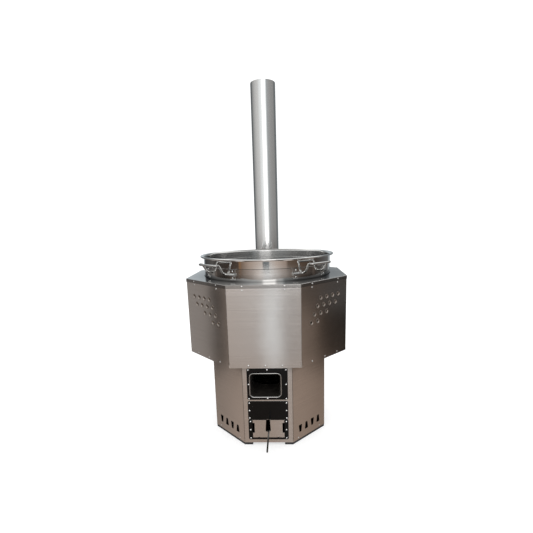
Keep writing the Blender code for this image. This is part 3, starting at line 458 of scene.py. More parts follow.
def copied(piece, name, matrix=Matrix()):
    """A copy with its own mesh, set in a new place."""
    hold(piece)
    bpy.ops.object.duplicate(linked=False)
    copy = fresh(name)
    copy.matrix_world = matrix @ piece.matrix_world
    apply_place(copy)
    return copy


def about_axis(angle):
    """A turn about the stove's axis, anticlockwise from above."""
    return Matrix.Translation(AXIS) @ Matrix.Rotation(angle, 4, "Z") @ Matrix.Translation(-AXIS)


def turn_piece(piece, angle):
    """Turn a piece about the stove's axis. Without a window the operator turns clockwise."""
    hold(piece)
    bpy.ops.transform.rotate(value=-angle, orient_axis="Z", center_override=AXIS)
    apply_place(piece)


def joined(name, pieces):
    """Several pieces as one."""
    hold(pieces[0])
    for piece in pieces:
        piece.select_set(True)
    if len(pieces) > 1:
        bpy.ops.object.join()
    return fresh(name)


def set_out(name, master, places):
    """One piece of several copies, each in its own place."""
    return joined(name, [copied(master, name + "_part", place) for place in places])


def on_face(index, apothem, along, height):
    """Place on a casing's face, facing outwards."""
    return about_axis(index * TURN) @ Matrix.Translation((along, AXIS_Y - apothem, height))


def arc(centre, radius, start, end, steps):
    """Points along an arc of a flat outline, its angles counted from the first axis."""
    points = []
    for step in range(steps + 1):
        angle = start + (end - start) * step / steps
        points.append((centre[0] + radius * cos(angle), centre[1] + radius * sin(angle)))
    return points


def rounded(corners, radius, steps, closed=True):
    """Points along straight runs whose corners are arcs of one radius. Almost straight ones stay."""
    flat = len(corners[0]) == 2
    corners = [Vector(corner).to_3d() for corner in corners]
    points = []
    for index, corner in enumerate(corners):
        if not closed and index in (0, len(corners) - 1):
            points.append(corner)
            continue
        back = (corners[index - 1] - corner).normalized()
        ahead = (corners[(index + 1) % len(corners)] - corner).normalized()
        half = back.angle(ahead) / 2
        if pi - 2 * half < radians(10):
            points.append(corner)
            continue
        start = corner + back * radius / tan(half)
        centre = corner + (back + ahead).normalized() * radius / sin(half)
        for step in range(steps + 1):
            angle = (pi - 2 * half) * step / steps
            points.append(centre + (start - centre) * cos(angle) - back * radius * sin(angle))
    return [point.to_2d() for point in points] if flat else points


def rectangle(left, right, low, high):
    """Corners of an upright rectangle."""
    return [(left, low), (right, low), (right, high), (left, high)]


def face_of(low, high, inset=0.0):
    """Corners of a box's upright face, drawn in on all sides."""
    return rectangle(low.x + inset, high.x - inset, low.z + inset, high.z - inset)


def around(turn, radius, height=0.0):
    """Point at a turn from the front, seen from above, on a circle about the stove's axis."""
    return AXIS + Vector((radius * sin(turn), -radius * cos(turn), height))


def settle(piece, finishes, slot, body, *nodes):
    """Finish a piece: its materials, the nodes it stands for and the body it rides on. The slot is not used.
    """
    apply_place(piece)
    piece.data.materials.clear()
    for finish in finishes.split():
        piece.data.materials.append(FINISHES[finish])
    if nodes:
        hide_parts(*nodes)
    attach(piece, body)
    return piece


# Finishes by their names
FINISHES = {}

# Where the painted shade round the cauldron's foot is lighter: the way to its middle, how nearly a place has
# to lie that way for the lightening to begin and to be full, and the share of the painted shade that is left
FRONT_SHADE_TOWARDS = (0.03, -1, 0)
FRONT_SHADE_BEGINS, FRONT_SHADE_FULL = 0.90, 0.985
FRONT_SHADE_SHARE = 0.55

# Painted shade on the cabinet under the housing's overhang: how far down it reaches, and the brightness left
# where it is darkest
SHADE_REACH = 0.07
SHADE_TONE = 0.4


def new_group(name, numbers, outputs):
    """An empty shader group with number inputs and number outputs."""
    group = bpy.data.node_groups.new(name, "ShaderNodeTree")
    for title, value in numbers:
        socket = group.interface.new_socket(title, in_out="INPUT", socket_type="NodeSocketFloat")
        socket.default_value = value
    for title in outputs:
        group.interface.new_socket(title, in_out="OUTPUT", socket_type="NodeSocketFloat")
    return group, group.nodes.new("NodeGroupInput"), group.nodes.new("NodeGroupOutput")


def fill(tree, socket, value):
    """Fill a socket with a number or a link."""
    if isinstance(value, bpy.types.NodeSocket):
        tree.links.new(value, socket)
    else:
        socket.default_value = value


def add_node(tree, kind, inputs=(), **values):
    """A node with its settings, and its inputs filled."""
    node = tree.nodes.new(kind)
    for name, value in values.items():
        setattr(node, name, value)
    for socket, value in inputs:
        fill(tree, node.inputs[socket], value)
    return node


def object_place(tree):
    """Object coordinates."""
    return add_node(tree, "ShaderNodeTexCoord").outputs["Object"]


def noise(tree, place, scale, detail=2.0, rough=0.5):
    """Value of a noise at a place."""
    node = add_node(
        tree, "ShaderNodeTexNoise",
        [("Vector", place), ("Scale", scale), ("Detail", detail), ("Roughness", rough)],
    )
    return node.outputs["Fac"]


def spread(tree, value, low, high, to_low=0.0, to_high=1.0):
    """Map a value from one range to another, held at its ends."""
    node = add_node(
        tree, "ShaderNodeMapRange",
        [("Value", value), ("From Min", low), ("From Max", high), ("To Min", to_low), ("To Max", to_high)],
    )
    return node.outputs["Result"]


def maths(tree, operation, first, second):
    """One sum on two values."""
    return add_node(tree, "ShaderNodeMath", [(0, first), (1, second)], operation=operation).outputs[0]


def vectors(tree, operation, first, second=(0, 0, 0), output="Vector"):
    """One sum on vectors."""
    node = add_node(tree, "ShaderNodeVectorMath", [(0, first), (1, second)], operation=operation)
    return node.outputs[output]


def joined_axes(tree, *parts):
    """A vector made of two or three values."""
    return add_node(tree, "ShaderNodeCombineXYZ", list(enumerate(parts))).outputs[0]


def mixed(tree, amount, first, second, blend="MIX"):
    """Mix of two colours. The node keeps these behind the sockets for its other kinds of data."""
    inputs = [(0, amount), (6, first), (7, second)]
    return add_node(tree, "ShaderNodeMix", inputs, data_type="RGBA", blend_type=blend).outputs[2]


def bump(tree, height, strength, distance, *normal):
    """Normal of a relief, on top of another one if that is given."""
    inputs = [("Strength", strength), ("Distance", distance), ("Height", height)]
    inputs += [("Normal", under) for under in normal]
    return add_node(tree, "ShaderNodeBump", inputs).outputs[0]


def use_group(tree, name, inputs=()):
    """A shared group in a finish."""
    return add_node(tree, "ShaderNodeGroup", inputs, node_tree=bpy.data.node_groups[name]).outputs


def make_brush_group():
    """Fine brush lines with handling smudges, for steel."""
    group, given, out = new_group(
        "brush_lines", [("Along X", 3.0), ("Along Y", 3.0), ("Along Z", 900.0), ("Smudge Size", 6.0)],
        ("Lines", "Smudges", "Streaks", "Waves"),
    )
    here = object_place(group)
    place = vectors(group, "MULTIPLY", here, joined_axes(group, *given.outputs[:3]))
    fine = noise(group, place, 1.0, 3.0, 0.65)
    wide = noise(group, place, 0.21, 2.0, 0.6)
    blot = noise(group, here, given.outputs["Smudge Size"], 4.0, 0.6)
    fill(group, out.inputs["Lines"], spread(group, fine, 0.3, 0.7))
    fill(group, out.inputs["Streaks"], spread(group, wide, 0.3, 0.7))
    fill(group, out.inputs["Smudges"], spread(group, blot, 0.38, 0.66))
    fill(group, out.inputs["Waves"], noise(group, here, 3.5, 1.0))


def make_dust_group():
    """Soft patches and sparse specks, for enamel and steel that stood outdoors."""
    group, given, out = new_group("dust", [("Patch Size", 9.0)], ("Patches", "Specks"))
    patch = noise(group, object_place(group), given.outputs["Patch Size"], 5.0, 0.6)
    speck = noise(group, object_place(group), 420.0, 1.0, 0.4)
    fill(group, out.inputs["Patches"], spread(group, patch, 0.42, 0.72))
    fill(group, out.inputs["Specks"], spread(group, speck, 0.70, 0.78))


def make_foot_shade_group(radius):
    """Painted shade round the foot of the cauldron, on its wall and on the top plate, made lighter at the
    front.
    """
    group, given, out = new_group("painted_foot_shade", [("Reach", 0.04), ("Depth", 0.6)], ("Shade",))
    here = object_place(group)
    from_foot = vectors(group, "SUBTRACT", here, (0, AXIS_Y, TOP_Z))
    parts = add_node(group, "ShaderNodeSeparateXYZ", [(0, from_foot)]).outputs
    flat = joined_axes(group, parts["X"], parts["Y"])
    across = maths(group, "SUBTRACT", vectors(group, "LENGTH", flat, output="Value"), radius)
    away = vectors(group, "LENGTH", joined_axes(group, across, parts["Z"]), output="Value")
    patch = noise(group, here, 22.0, 3.0)
    uneven = maths(group, "MULTIPLY", away, spread(group, patch, 0.3, 0.7, 0.8, 1.2))
    left = spread(group, maths(group, "DIVIDE", uneven, given.outputs["Reach"]), 0.05, 1.0, 1.0, 0.0)
    outwards = vectors(group, "NORMALIZE", flat)
    # Less painted shade towards the front
    to_front = vectors(group, "DOT_PRODUCT", outwards, FRONT_SHADE_TOWARDS, "Value")
    front_lightening = spread(group, to_front, FRONT_SHADE_BEGINS, FRONT_SHADE_FULL, 1.0, FRONT_SHADE_SHARE)
    depth = maths(group, "MULTIPLY", given.outputs["Depth"], front_lightening)
    shade = maths(group, "SUBTRACT", 1.0, maths(group, "MULTIPLY", left, depth))
    fill(group, out.inputs["Shade"], shade)


def new_finish(name):
    """A new material and its shader."""
    material = bpy.data.materials.new(name)
    material.use_nodes = True
    FINISHES[name] = material
    return material.node_tree, material.node_tree.nodes["Principled BSDF"]


def tone(value, factor):
    """A colour made lighter or darker, with its alpha."""
    return tuple(min(1.0, part * factor) for part in value[:3]) + (1.0,)


def steel_finish(
    name, shade, rough, pull=0.0, lines=(3.0, 3.0, 900.0), grain=0.07, relief=0.02, wave=0.0012,
    across=(0, 0, 1), foot_shade=None, shaded_below=None,
):
    """Stainless steel with brush lines.

    pull is how far the lines draw the reflections out, across the axis given, and lines how fine they are
    along X, Y and Z. grain, relief and wave are the strengths of their tone, their depth and the sheet's
    waviness. Of the last two arguments, the first is the reach and the depth of the painted shade round the
    cauldron's foot, and the second the height where painted shade begins to darken the steel, the height
    where it is darkest and the brightness left there.
    """
    tree, shader = new_finish(name)
    brush = use_group(tree, "brush_lines", zip(("Along X", "Along Y", "Along Z"), lines))
    base = mixed(tree, brush["Lines"], tone(shade, 1 - grain), tone(shade, 1 + grain))
    streaked = mixed(tree, brush["Streaks"], tone((1, 1, 1), 1 - grain / 2), (1, 1, 1, 1))
    base = mixed(tree, 1.0, base, streaked, "MULTIPLY")
    # Painted shade round the cauldron's foot, lighter at the front
    if foot_shade:
        foot_shading = use_group(tree, "painted_foot_shade", zip(("Reach", "Depth"), foot_shade))
        base = mixed(tree, 1.0, base, foot_shading["Shade"], "MULTIPLY")
    # Painted shade on the cabinet, darkest right under the housing
    if shaded_below:
        height = add_node(tree, "ShaderNodeSeparateXYZ", [(0, object_place(tree))]).outputs["Z"]
        base = mixed(tree, 1.0, base, spread(tree, height, shaded_below[0], shaded_below[1], 1.0, shaded_below[2]), "MULTIPLY")
    fill(tree, shader.inputs["Base Color"], base)
    rough_lines = spread(tree, brush["Lines"], 0.0, 1.0, rough * 0.86, rough * 1.14)
    rough_smudged = spread(tree, brush["Smudges"], 0.0, 1.0, 0.0, rough * 0.22)
    fill(tree, shader.inputs["Roughness"], maths(tree, "ADD", rough_lines, rough_smudged))
    shader.inputs["Metallic"].default_value = 1.0
    if pull:
        shader.inputs["Anisotropic"].default_value = pull
        shader.inputs["Anisotropic Rotation"].default_value = 0.25
        normal = add_node(tree, "ShaderNodeNewGeometry").outputs["Normal"]
        fill(tree, shader.inputs["Tangent"], vectors(tree, "CROSS_PRODUCT", normal, across))
    waves = bump(tree, brush["Waves"], 1.0, wave)
    fill(tree, shader.inputs["Normal"], bump(tree, brush["Lines"], relief, 0.001, waves))


def coated_finish(name, shade, tones, roughs, grain, relief, patch=9.0, speck=None):
    """A coat whose tone and roughness go from one value to another in soft patches, with a fine grain.

    grain is the scale, the detail and the roughness of its noise, relief its strength and depth, patch the
    scale of the patches and speck the tone of dust on the coat.
    """
    tree, shader = new_finish(name)
    dust = use_group(tree, "dust", [("Patch Size", patch)])
    base = mixed(tree, dust["Patches"], tone(shade, tones[0]), tone(shade, tones[1]))
    if speck:
        base = mixed(tree, dust["Specks"], base, tone(shade, speck))
    fill(tree, shader.inputs["Base Color"], base)
    fill(tree, shader.inputs["Roughness"], spread(tree, dust["Patches"], 0.0, 1.0, *roughs))
    fill(tree, shader.inputs["Normal"], bump(tree, noise(tree, object_place(tree), *grain), *relief))
    return shader


def make_finishes(colours, radius):
    """Every finish of the stove."""
    make_brush_group()
    make_dust_group()
    make_foot_shade_group(radius)
    brushed, bright = colours.brushed, colours.bright
    under_housing = (HOUSING_LOW.z - SHADE_REACH, HOUSING_LOW.z, SHADE_TONE)
    steel_finish("brushed_steel", brushed, 0.085, 1.0)
    # The cabinet: painted shade under the housing
    steel_finish("cabinet_steel", brushed, 0.085, 1.0, shaded_below=under_housing)
    # The top plate: painted shade round the throat
    steel_finish(
        "top_steel", tone(brushed, 0.95), 0.06, 0.2,
        lines=(3.0, 900.0, 3.0), across=(0, 1, 0), foot_shade=(0.085, 0.75),
    )
    # The top plate's upright edge: the same steel painted darker, as painted shade
    steel_finish("edge_steel", tone(brushed, 0.48), 0.12, 1.0)
    # The cauldron's outer wall: painted shade at its foot
    steel_finish("pot_steel", tone(bright, 0.9), 0.07, 0.3, foot_shade=(0.032, 0.8))
    # The cauldron's bore: its brushing is real, and its darker tone than the outside is painted shade
    steel_finish("pot_inside", tone(bright, 0.62), 0.19, 1.0)
    steel_finish("band_steel", bright, 0.045, grain=0.03, relief=0.003, wave=0.0006)
    steel_finish("bright_steel", tone(bright, 0.7), 0.03, grain=0.04, relief=0.004, wave=0.0)
    steel_finish("rim_steel", tone(bright, 0.58), 0.07, grain=0.04, relief=0.004, wave=0.0)
    steel_finish("pipe_steel", bright, 0.09, 1.0, grain=0.03, relief=0.002, wave=0.0009)
    steel_finish("dark_steel", tone(brushed, 0.75), 0.34, 0.5, grain=0.14)
    # The vent dishes: duller, and darker as painted shade
    steel_finish("vent_steel", colours.vent, 0.26, wave=0.0)
    steel_finish("rod_steel", tone(brushed, 0.3), 0.22, grain=0.12, wave=0.0)
    steel_finish("zinc", colours.zinc, 0.12, lines=(60.0, 60.0, 60.0), grain=0.06, wave=0.0)
    enamel = coated_finish(
        "enamel", colours.enamel, (0.7, 1.3), (0.04, 0.10), (700.0, 2.0), (0.03, 0.0003), speck=3.0
    )
    enamel.inputs["Specular IOR Level"].default_value = 0.2
    fire_steel = coated_finish(
        "fire_steel", colours.soot, (0.45, 1.5), (0.78, 0.55), (260.0, 4.0, 0.6), (0.35, 0.0008), 14.0, 3.0
    )
    fire_steel.inputs["Metallic"].default_value = 0.55
    coated_finish("rubber", colours.rubber, (0.8, 2.2), (0.62, 0.80), (900.0, 2.0), (0.2, 0.0005))


# Shapes that several pieces share

def folded_panel(name, casing, apothem, low, high):
    """A casing panel facing the front: a sheet with both upright edges folded in along the corners."""
    half = apothem * tan(HALF_TURN) - CLEAR / 2 / cos(HALF_TURN)
    fold_z = low + casing.fold_lift
    let_go()
    place = (0, AXIS_Y - apothem, (low + high) / 2)
    bpy.ops.mesh.primitive_plane_add(size=1, rotation=UPRIGHT, location=place)
    panel = fresh(name)
    panel.scale = (2 * half, high - low, 1)
    apply_place(panel)
    open_piece(panel)
    for side in (1, -1):
        pick("EDGE", lambda edge: middle(edge).x * side > half - CLEAR)
        step = Vector((-side * sin(HALF_TURN), cos(HALF_TURN), 0)) * casing.fold
        bpy.ops.mesh.extrude_region_move(TRANSFORM_OT_translate={"value": step})
    pick("FACE", lambda face: abs(face.normal.x) > 0.5)
    bpy.ops.mesh.bisect(plane_co=(0, 0, fold_z), plane_no=(0, 0, 1))
    pick("FACE", lambda face: abs(face.normal.x) > 0.5 and face.calc_center_median().z < fold_z)
    bpy.ops.mesh.delete(type="FACE")
    pick("EDGE", lambda edge: abs(abs(middle(edge).x) - half) < CLEAR and len(edge.link_faces) == 2)
    bpy.ops.mesh.bevel(offset=casing.fold_radius, segments=3, affect="EDGES")
    close_piece()
    thicken(panel, casing.sheet)
    return panel


def screw_head(name, radius, height):
    """A round screw head with a six-sided socket, facing the front at the origin."""
    shoulder, socket_radius = height * 0.35, radius * 0.42
    socket_length, socket_edge = height * 1.2, radius * 0.03
    rise = [(radius, 0.0), (radius, shoulder)]
    rise += [(radius * cos(a), shoulder + (height - shoulder) * sin(a)) for a in (radians(30), radians(58))]
    rise += [(socket_radius, height), (0.0, height)]
    head = spun(name, [(across, -up, 0.0) for across, up in rise], HEAD_STEPS, (0, 0, 0), (0, 1, 0))
    socket = cylinder(6, socket_radius, socket_length, (0, -height, 0), UPRIGHT)
    open_piece(socket)
    pick("FACE", lambda face: abs(face.normal.y) > 0.9)
    bpy.ops.mesh.bevel(offset=socket_edge, segments=1, affect="EDGES")
    close_piece()
    cap(head)
    cut(head, socket)
    smooth(head)
    return head


def rivet_head(name, radius, height):
    """A domed rivet head, facing the front at the origin."""
    angles = [radians(degrees) for degrees in (0, 15, 35, 55, 75)]
    line = [(radius * cos(angle), -height * sin(angle), 0.0) for angle in angles]
    head = spun(name, line + [(0.0, -height, 0.0)], HEAD_STEPS, (0, 0, 0), (0, 1, 0))
    cap(head)
    smooth(head)
    return head


# Operators: one for each piece or group of like pieces


class STOVE_OT_finishes(bpy.types.Operator):
    """Make the finishes that all the pieces wear"""

    bl_idname = "stove.finishes"
    bl_label = "Finishes"

    def execute(self, context):
        make_finishes(context.scene.stove_finish, context.scene.stove_cauldron.radius)
        return {"FINISHED"}


# Vents in each row, depth at which a vent's lip meets the sheet, width and depth of the chamfer round a
# vent's hole, and how far the flange laps over the flue hole
VENT_ROWS = (4, 4, 3, 2)
LIP_SEAT = 0.0002
HOLE_CHAMFER, HOLE_CHAMFER_DEPTH = 0.001, 0.0004
FLANGE_LAP = 0.0195


class STOVE_OT_housing_panels(bpy.types.Operator):
    """Model the eight folded panels of the housing, with dished vents and the flue hole"""

    bl_idname = "stove.housing_panels"
    bl_label = "Housing panels"

    def execute(self, context):
        casing = context.scene.stove_casing
        front = AXIS_Y - HOUSING_APOTHEM
        panel = folded_panel("housing_master", casing, HOUSING_APOTHEM, HOUSING_LOW.z, HOUSING_HIGH.z)
        ease_edges(panel, SHEET_EDGE)
        smooth(panel, True)
        dish = self.dish(casing, front)
        for index, face in enumerate(FACE_NAMES):
            copy = copied(panel, "casing_housing_" + face)
            vents = self.vents(casing, index)
            if vents:
                places = [Matrix.Translation(vent) for vent in vents]
                cut(copy, set_out("backs", dish[0], places), "UNION")
                cut(copy, set_out("hollows", dish[1], places))
                smooth(copy, True)
            if index == BACK:
                bore(copy, FLUE_HOLE_STEPS, FLANGE_RADIUS - FLANGE_LAP, (-PIPE_X, front, FLUE_Z), UPRIGHT)
            turn_piece(copy, index * TURN)
            settle(copy, "brushed_steel vent_steel", "brushed_stainless", "stove", "housing_panel_" + face)
            if vents:
                self.shade_dishes(copy, casing, [on_face(index, HOUSING_APOTHEM, vent.x, vent.z) for vent in vents])
        drop(panel, *dish)
        return {"FINISHED"}

    def dish(self, casing, front):
        """The solid of a vent, with its raised lip, and the hollow in it, both on the panel's middle."""
        wall = casing.sheet
        radius, hole, depth, lip = casing.vent_radius, casing.vent_hole, casing.vent_depth, casing.vent_lip
        solid = [
            (0.0, -lip), (radius, -lip), (radius + lip, -lip * 0.75), (radius + 1.8 * lip, LIP_SEAT),
            (radius + 1.8 * lip, wall * 0.6), (radius + wall * 0.6, wall * 1.4),
            ((radius + hole) / 2 + wall, depth + wall), (0.0, depth + wall),
        ]
        hollow = [
            (0.0, -3 * lip), (radius - 0.4 * lip, -3 * lip), (radius - 0.4 * lip, -lip * 0.9),
            (radius - 1.2 * lip, -lip * 0.3), (radius - 2.2 * lip, depth * 0.7), (hole + HOLE_CHAMFER, depth),
            (hole, depth + HOLE_CHAMFER_DEPTH), (hole, depth + 2 * wall), (0.0, depth + 2 * wall),
        ]
        made = []
        for name, section in (("vent_solid", solid), ("vent_hollow", hollow)):
            line = [(across, front + down, 0.0) for across, down in section]
            made.append(spun(name, line, VENT_STEPS, (0, front, 0), (0, 1, 0)))
        return made

    def vents(self, casing, index):
        """Places of the vents along a panel that faces the front. Only the front diagonals have them."""
        side = {FRONT_RIGHT: 1, FRONT_LEFT: -1}.get(index, 0)
        start = casing.vent_start - HOUSING_APOTHEM * tan(HALF_TURN)
        places = []
        for row, count in enumerate(VENT_ROWS if side else ()):
            height = HOUSING_HIGH.z - casing.vent_drop - row * casing.vent_row_pitch
            for number in range(count):
                places.append(Vector((side * (start + (number - row / 2) * casing.vent_pitch), 0, height)))
        return places

    def shade_dishes(self, panel, casing, places):
        """Give the pressed dishes their duller finish, painted darker as shade in their hollows."""
        spots = [place.translation for place in places]
        reach = casing.vent_radius + 3 * casing.vent_lip
        coat(panel, 1, lambda face: any(
            all((corner.co - spot).length < reach for corner in face.verts) for spot in spots
        ))


# Lap of the blanking plate over its window, and play between the drawer's front and its plate
BLANK_LAP = 0.018
DRAWER_PLAY = 0.001


class STOVE_OT_cabinet_panels(bpy.types.Operator):
    """Model the eight folded panels of the cabinet, with air slots and the front windows"""

    bl_idname = "stove.cabinet_panels"
    bl_label = "Cabinet panels"

    def execute(self, context):
        casing = context.scene.stove_casing
        front = AXIS_Y - CABINET_APOTHEM
        panel = folded_panel("cabinet_master", casing, CABINET_APOTHEM, CABINET_LOW.z, CABINET_HIGH.z)
        for index, face in enumerate(FACE_NAMES):
            copy = copied(panel, "casing_cabinet_" + face)
            openings = []
            if index in (FRONT_RIGHT, FRONT_LEFT):
                openings = [self.slot(casing, number) for number in range(4)]
            if index == FRONT:
                openings = self.windows(context.scene.stove_fittings)
            for outline in openings:
                punch(copy, outline, front, front)
            ease_edges(copy, SHEET_EDGE)
            smooth(copy, True)
            turn_piece(copy, index * TURN)
            settle(copy, "cabinet_steel", "brushed_stainless", "stove", "cabinet_panel_" + face)
        drop(panel)
        return {"FINISHED"}

    def slot(self, casing, number):
        """Outline of one slot. The even ones are wide at the top, the odd ones at the foot."""
        along = (number - 1.5) * casing.slot_pitch
        low, top = casing.slot_narrow / 2, casing.slot_wide / 2
        if number % 2:
            low, top = top, low
        low_z = CABINET_LOW.z + casing.slot_rise
        top_z = low_z + casing.slot_height
        corners = [(along - low, low_z), (along + low, low_z), (along + top, top_z), (along - top, top_z)]
        return rounded(corners, casing.slot_corner, 5)

    def windows(self, fittings):
        """Outlines of the openings behind the front plates."""
        bar = fittings.rim_bar
        feed = rounded(face_of(RIM_LOW, RIM_HIGH, bar), fittings.feed_corner - bar, 6)
        play = 2 * DRAWER_PLAY
        drawer = rectangle(DRAWER_LOW.x - play, DRAWER_HIGH.x + play, DRAWER_LOW.z - play, DRAWER_HIGH.z)
        return feed, face_of(BLANK_LOW, BLANK_HIGH, BLANK_LAP), drawer


class STOVE_OT_top_plate(bpy.types.Operator):
    """Model the folded octagonal plate round the cauldron"""

    bl_idname = "stove.top_plate"
    bl_label = "Top plate"

    def execute(self, context):
        casing = context.scene.stove_casing
        middle_z = (TOP_HIGH.z + TOP_LOW.z) / 2
        radius, depth = TOP_APOTHEM / cos(HALF_TURN), TOP_HIGH.z - TOP_LOW.z
        cylinder(SIDES, radius, depth, (0, AXIS_Y, middle_z), (0, 0, HALF_TURN))
        plate = fresh("casing_top_plate")
        open_piece(plate)
        pick("FACE", lambda face: face.normal.z < -0.9)
        bpy.ops.mesh.delete(type="FACE")
        pick("EDGE", lambda edge: len(edge.link_faces) == 2)
        bpy.ops.mesh.bevel(offset=casing.top_radius, segments=3, affect="EDGES")
        close_piece()
        thicken(plate, casing.sheet)
        ease_edges(plate, SHEET_EDGE)
        throat = context.scene.stove_cauldron.radius + casing.throat_gap
        bore(plate, THROAT_STEPS, throat, (0, AXIS_Y, TOP_Z))
        settle(plate, "top_steel edge_steel", "brushed_stainless", "stove", "top_plate")
        # The upright edge wears the darker steel, painted shade
        coat(plate, 1, lambda face: abs(face.normal.z) < 0.5)
        return {"FINISHED"}


# Cauldron: height over which the wall steps in to its band, height above the floor where the knuckle
# has ended, depth of the rim's zone below its top, and thickness of the floor's zone
STEP_HEIGHT = 0.0022
WALL_FOOT = 0.12
RIM_ZONE = 0.0125
FLOOR_ZONE = 0.0015


class STOVE_OT_cauldron(bpy.types.Operator):
    """Model the cauldron: a spun shell with a polished band and a rolled rim"""

    bl_idname = "stove.cauldron"
    bl_label = "Cauldron"

    def execute(self, context):
        sizes = context.scene.stove_cauldron
        band_z = TOP_Z + sizes.band_rise
        wall = sizes.radius - sizes.wall / 2
        pot = spun("cauldron_shell", self.profile(sizes), POT_STEPS)
        smooth(pot, True)
        settle(pot, "pot_steel band_steel pot_inside", "polished_stainless", "cauldron", "pot_body")
        coat(pot, 1, lambda face: self.outside(face, wall) and face.calc_center_median().z > band_z)
        coat(pot, 2, lambda face: not self.outside(face, wall))
        return {"FINISHED"}

    def outside(self, face, wall):
        """Whether a face is on the outer side, or on the rim."""
        place = face.calc_center_median() - AXIS
        flat = Vector((place.x, place.y, 0))
        outwards = flat.normalized().dot(face.normal)
        on_rim = place.z > RIM_Z - RIM_ZONE and face.normal.z > 0.3
        on_floor = place.z < POT_LOW.z + FLOOR_ZONE
        return outwards > 0.02 or on_rim or on_floor or (flat.length > wall and outwards > 0)

    def profile(self, sizes):
        """Section from the middle of the floor up the bore, over the rim and down the outside."""
        radius, wall, bead, flare = sizes.radius, sizes.wall, sizes.bead, sizes.flare
        bore_radius = radius - wall
        upper = bore_radius + sizes.band_step
        band_z = TOP_Z + sizes.band_rise
        heights = (POT_LOW.z + WALL_FOOT, TOP_Z, band_z - STEP_HEIGHT)
        knuckle = (radius - sizes.knuckle, POT_LOW.z + sizes.knuckle)
        turn = (upper + flare, RIM_Z - flare)
        curl = (RIM_RADIUS - bead, RIM_Z - bead)
        points = [(part * knuckle[0], POT_LOW.z + wall) for part in (0, 0.25, 0.5, 0.75)]
        points += arc(knuckle, sizes.knuckle - wall, -pi / 2, 0, 8)
        points += [(bore_radius, height) for height in heights] + [(upper, band_z)]
        points += arc(turn, flare, pi, pi / 2, 8)
        points += arc(curl, bead, pi / 2, -pi / 2, 10)
        points.append((curl[0] - bead / 2, RIM_Z - wall))
        points += arc(turn, flare - wall, pi / 2, pi, 8)
        points += [(upper + wall, band_z)] + [(radius, height) for height in reversed(heights)]
        points += arc(knuckle, sizes.knuckle, 0, -pi / 2, 8)
        points.append((0, POT_LOW.z))
        return [(across, AXIS_Y, height) for across, height in points]


# Turns of the four handles from the front, and from a handle's middle to its bends, ends and saddles
HANDLE_TURNS = {
    "front_right": radians(41.7), "back_right": radians(138.3),
    "back_left": radians(221.7), "front_left": radians(318.3),
}
HANDLE_FOOT = radians(9.3)
HANDLE_END = radians(18.6)
SADDLE_TURN = radians(16.0)

# Shares of the way from a handle's foot to its grip at which it starts to rise and is up, and the share of
# the height that it has by the first
OUT_SHARE, UP_SHARE = 0.30, 0.66
OUT_RISE_SHARE = 0.20


class STOVE_OT_handles(bpy.types.Operator):
    """Bend the four handles of the cauldron from round bar"""

    bl_idname = "stove.handles"
    bl_label = "Handles"

    def execute(self, context):
        sizes = context.scene.stove_cauldron
        handle = round_bar("handle_master", self.path(sizes), sizes.bar_radius, 6)
        open_piece(handle)
        pick("FACE", lambda face: len(face.verts) > 4)
        bpy.ops.mesh.bevel(offset=HANDLE_EDGE, segments=2, affect="EDGES")
        close_piece()
        smooth(handle)
        for name, turn in HANDLE_TURNS.items():
            copy = copied(handle, "handle_" + name)
            turn_piece(copy, turn)
            settle(copy, "bright_steel", "polished_stainless", "cauldron", "pot_handle_" + name)
        drop(handle)
        return {"FINISHED"}

    def path(self, sizes):
        """Along the wall, out, up and across the grip, for a handle that faces the front."""
        mount = sizes.radius + CLEAR + sizes.bar_radius
        low, high = TOP_Z + sizes.handle_low, TOP_Z + sizes.handle_high
        foot = around(HANDLE_FOOT, mount, low)
        grip_end = AXIS + Vector((sizes.grip_half, -sizes.radius - sizes.grip_reach, high))
        out = foot.lerp(grip_end, OUT_SHARE)
        out.z = low + (high - low) * OUT_RISE_SHARE
        up = foot.lerp(grip_end, UP_SHARE)
        up.z = high
        clear_of_wall = mount / cos((HANDLE_END - HANDLE_FOOT) / 4)
        half = [
            around(HANDLE_END, mount, low), around((HANDLE_FOOT + HANDLE_END) / 2, clear_of_wall, low),
            foot, out, up, grip_end,
        ]
        other = [Vector((-point.x, point.y, point.z)) for point in reversed(half)]
        return rounded(half + other, sizes.bend, 6, False)


# Rivets above and below a handle's foot, the height of their heads, and the strap's bend with the short
# straight that leads into it
RIVET_RISE = 0.0153
RIVET_HEIGHT = 0.0025
STRAP_BEND = 0.0006
STRAP_LEAD = 0.0002


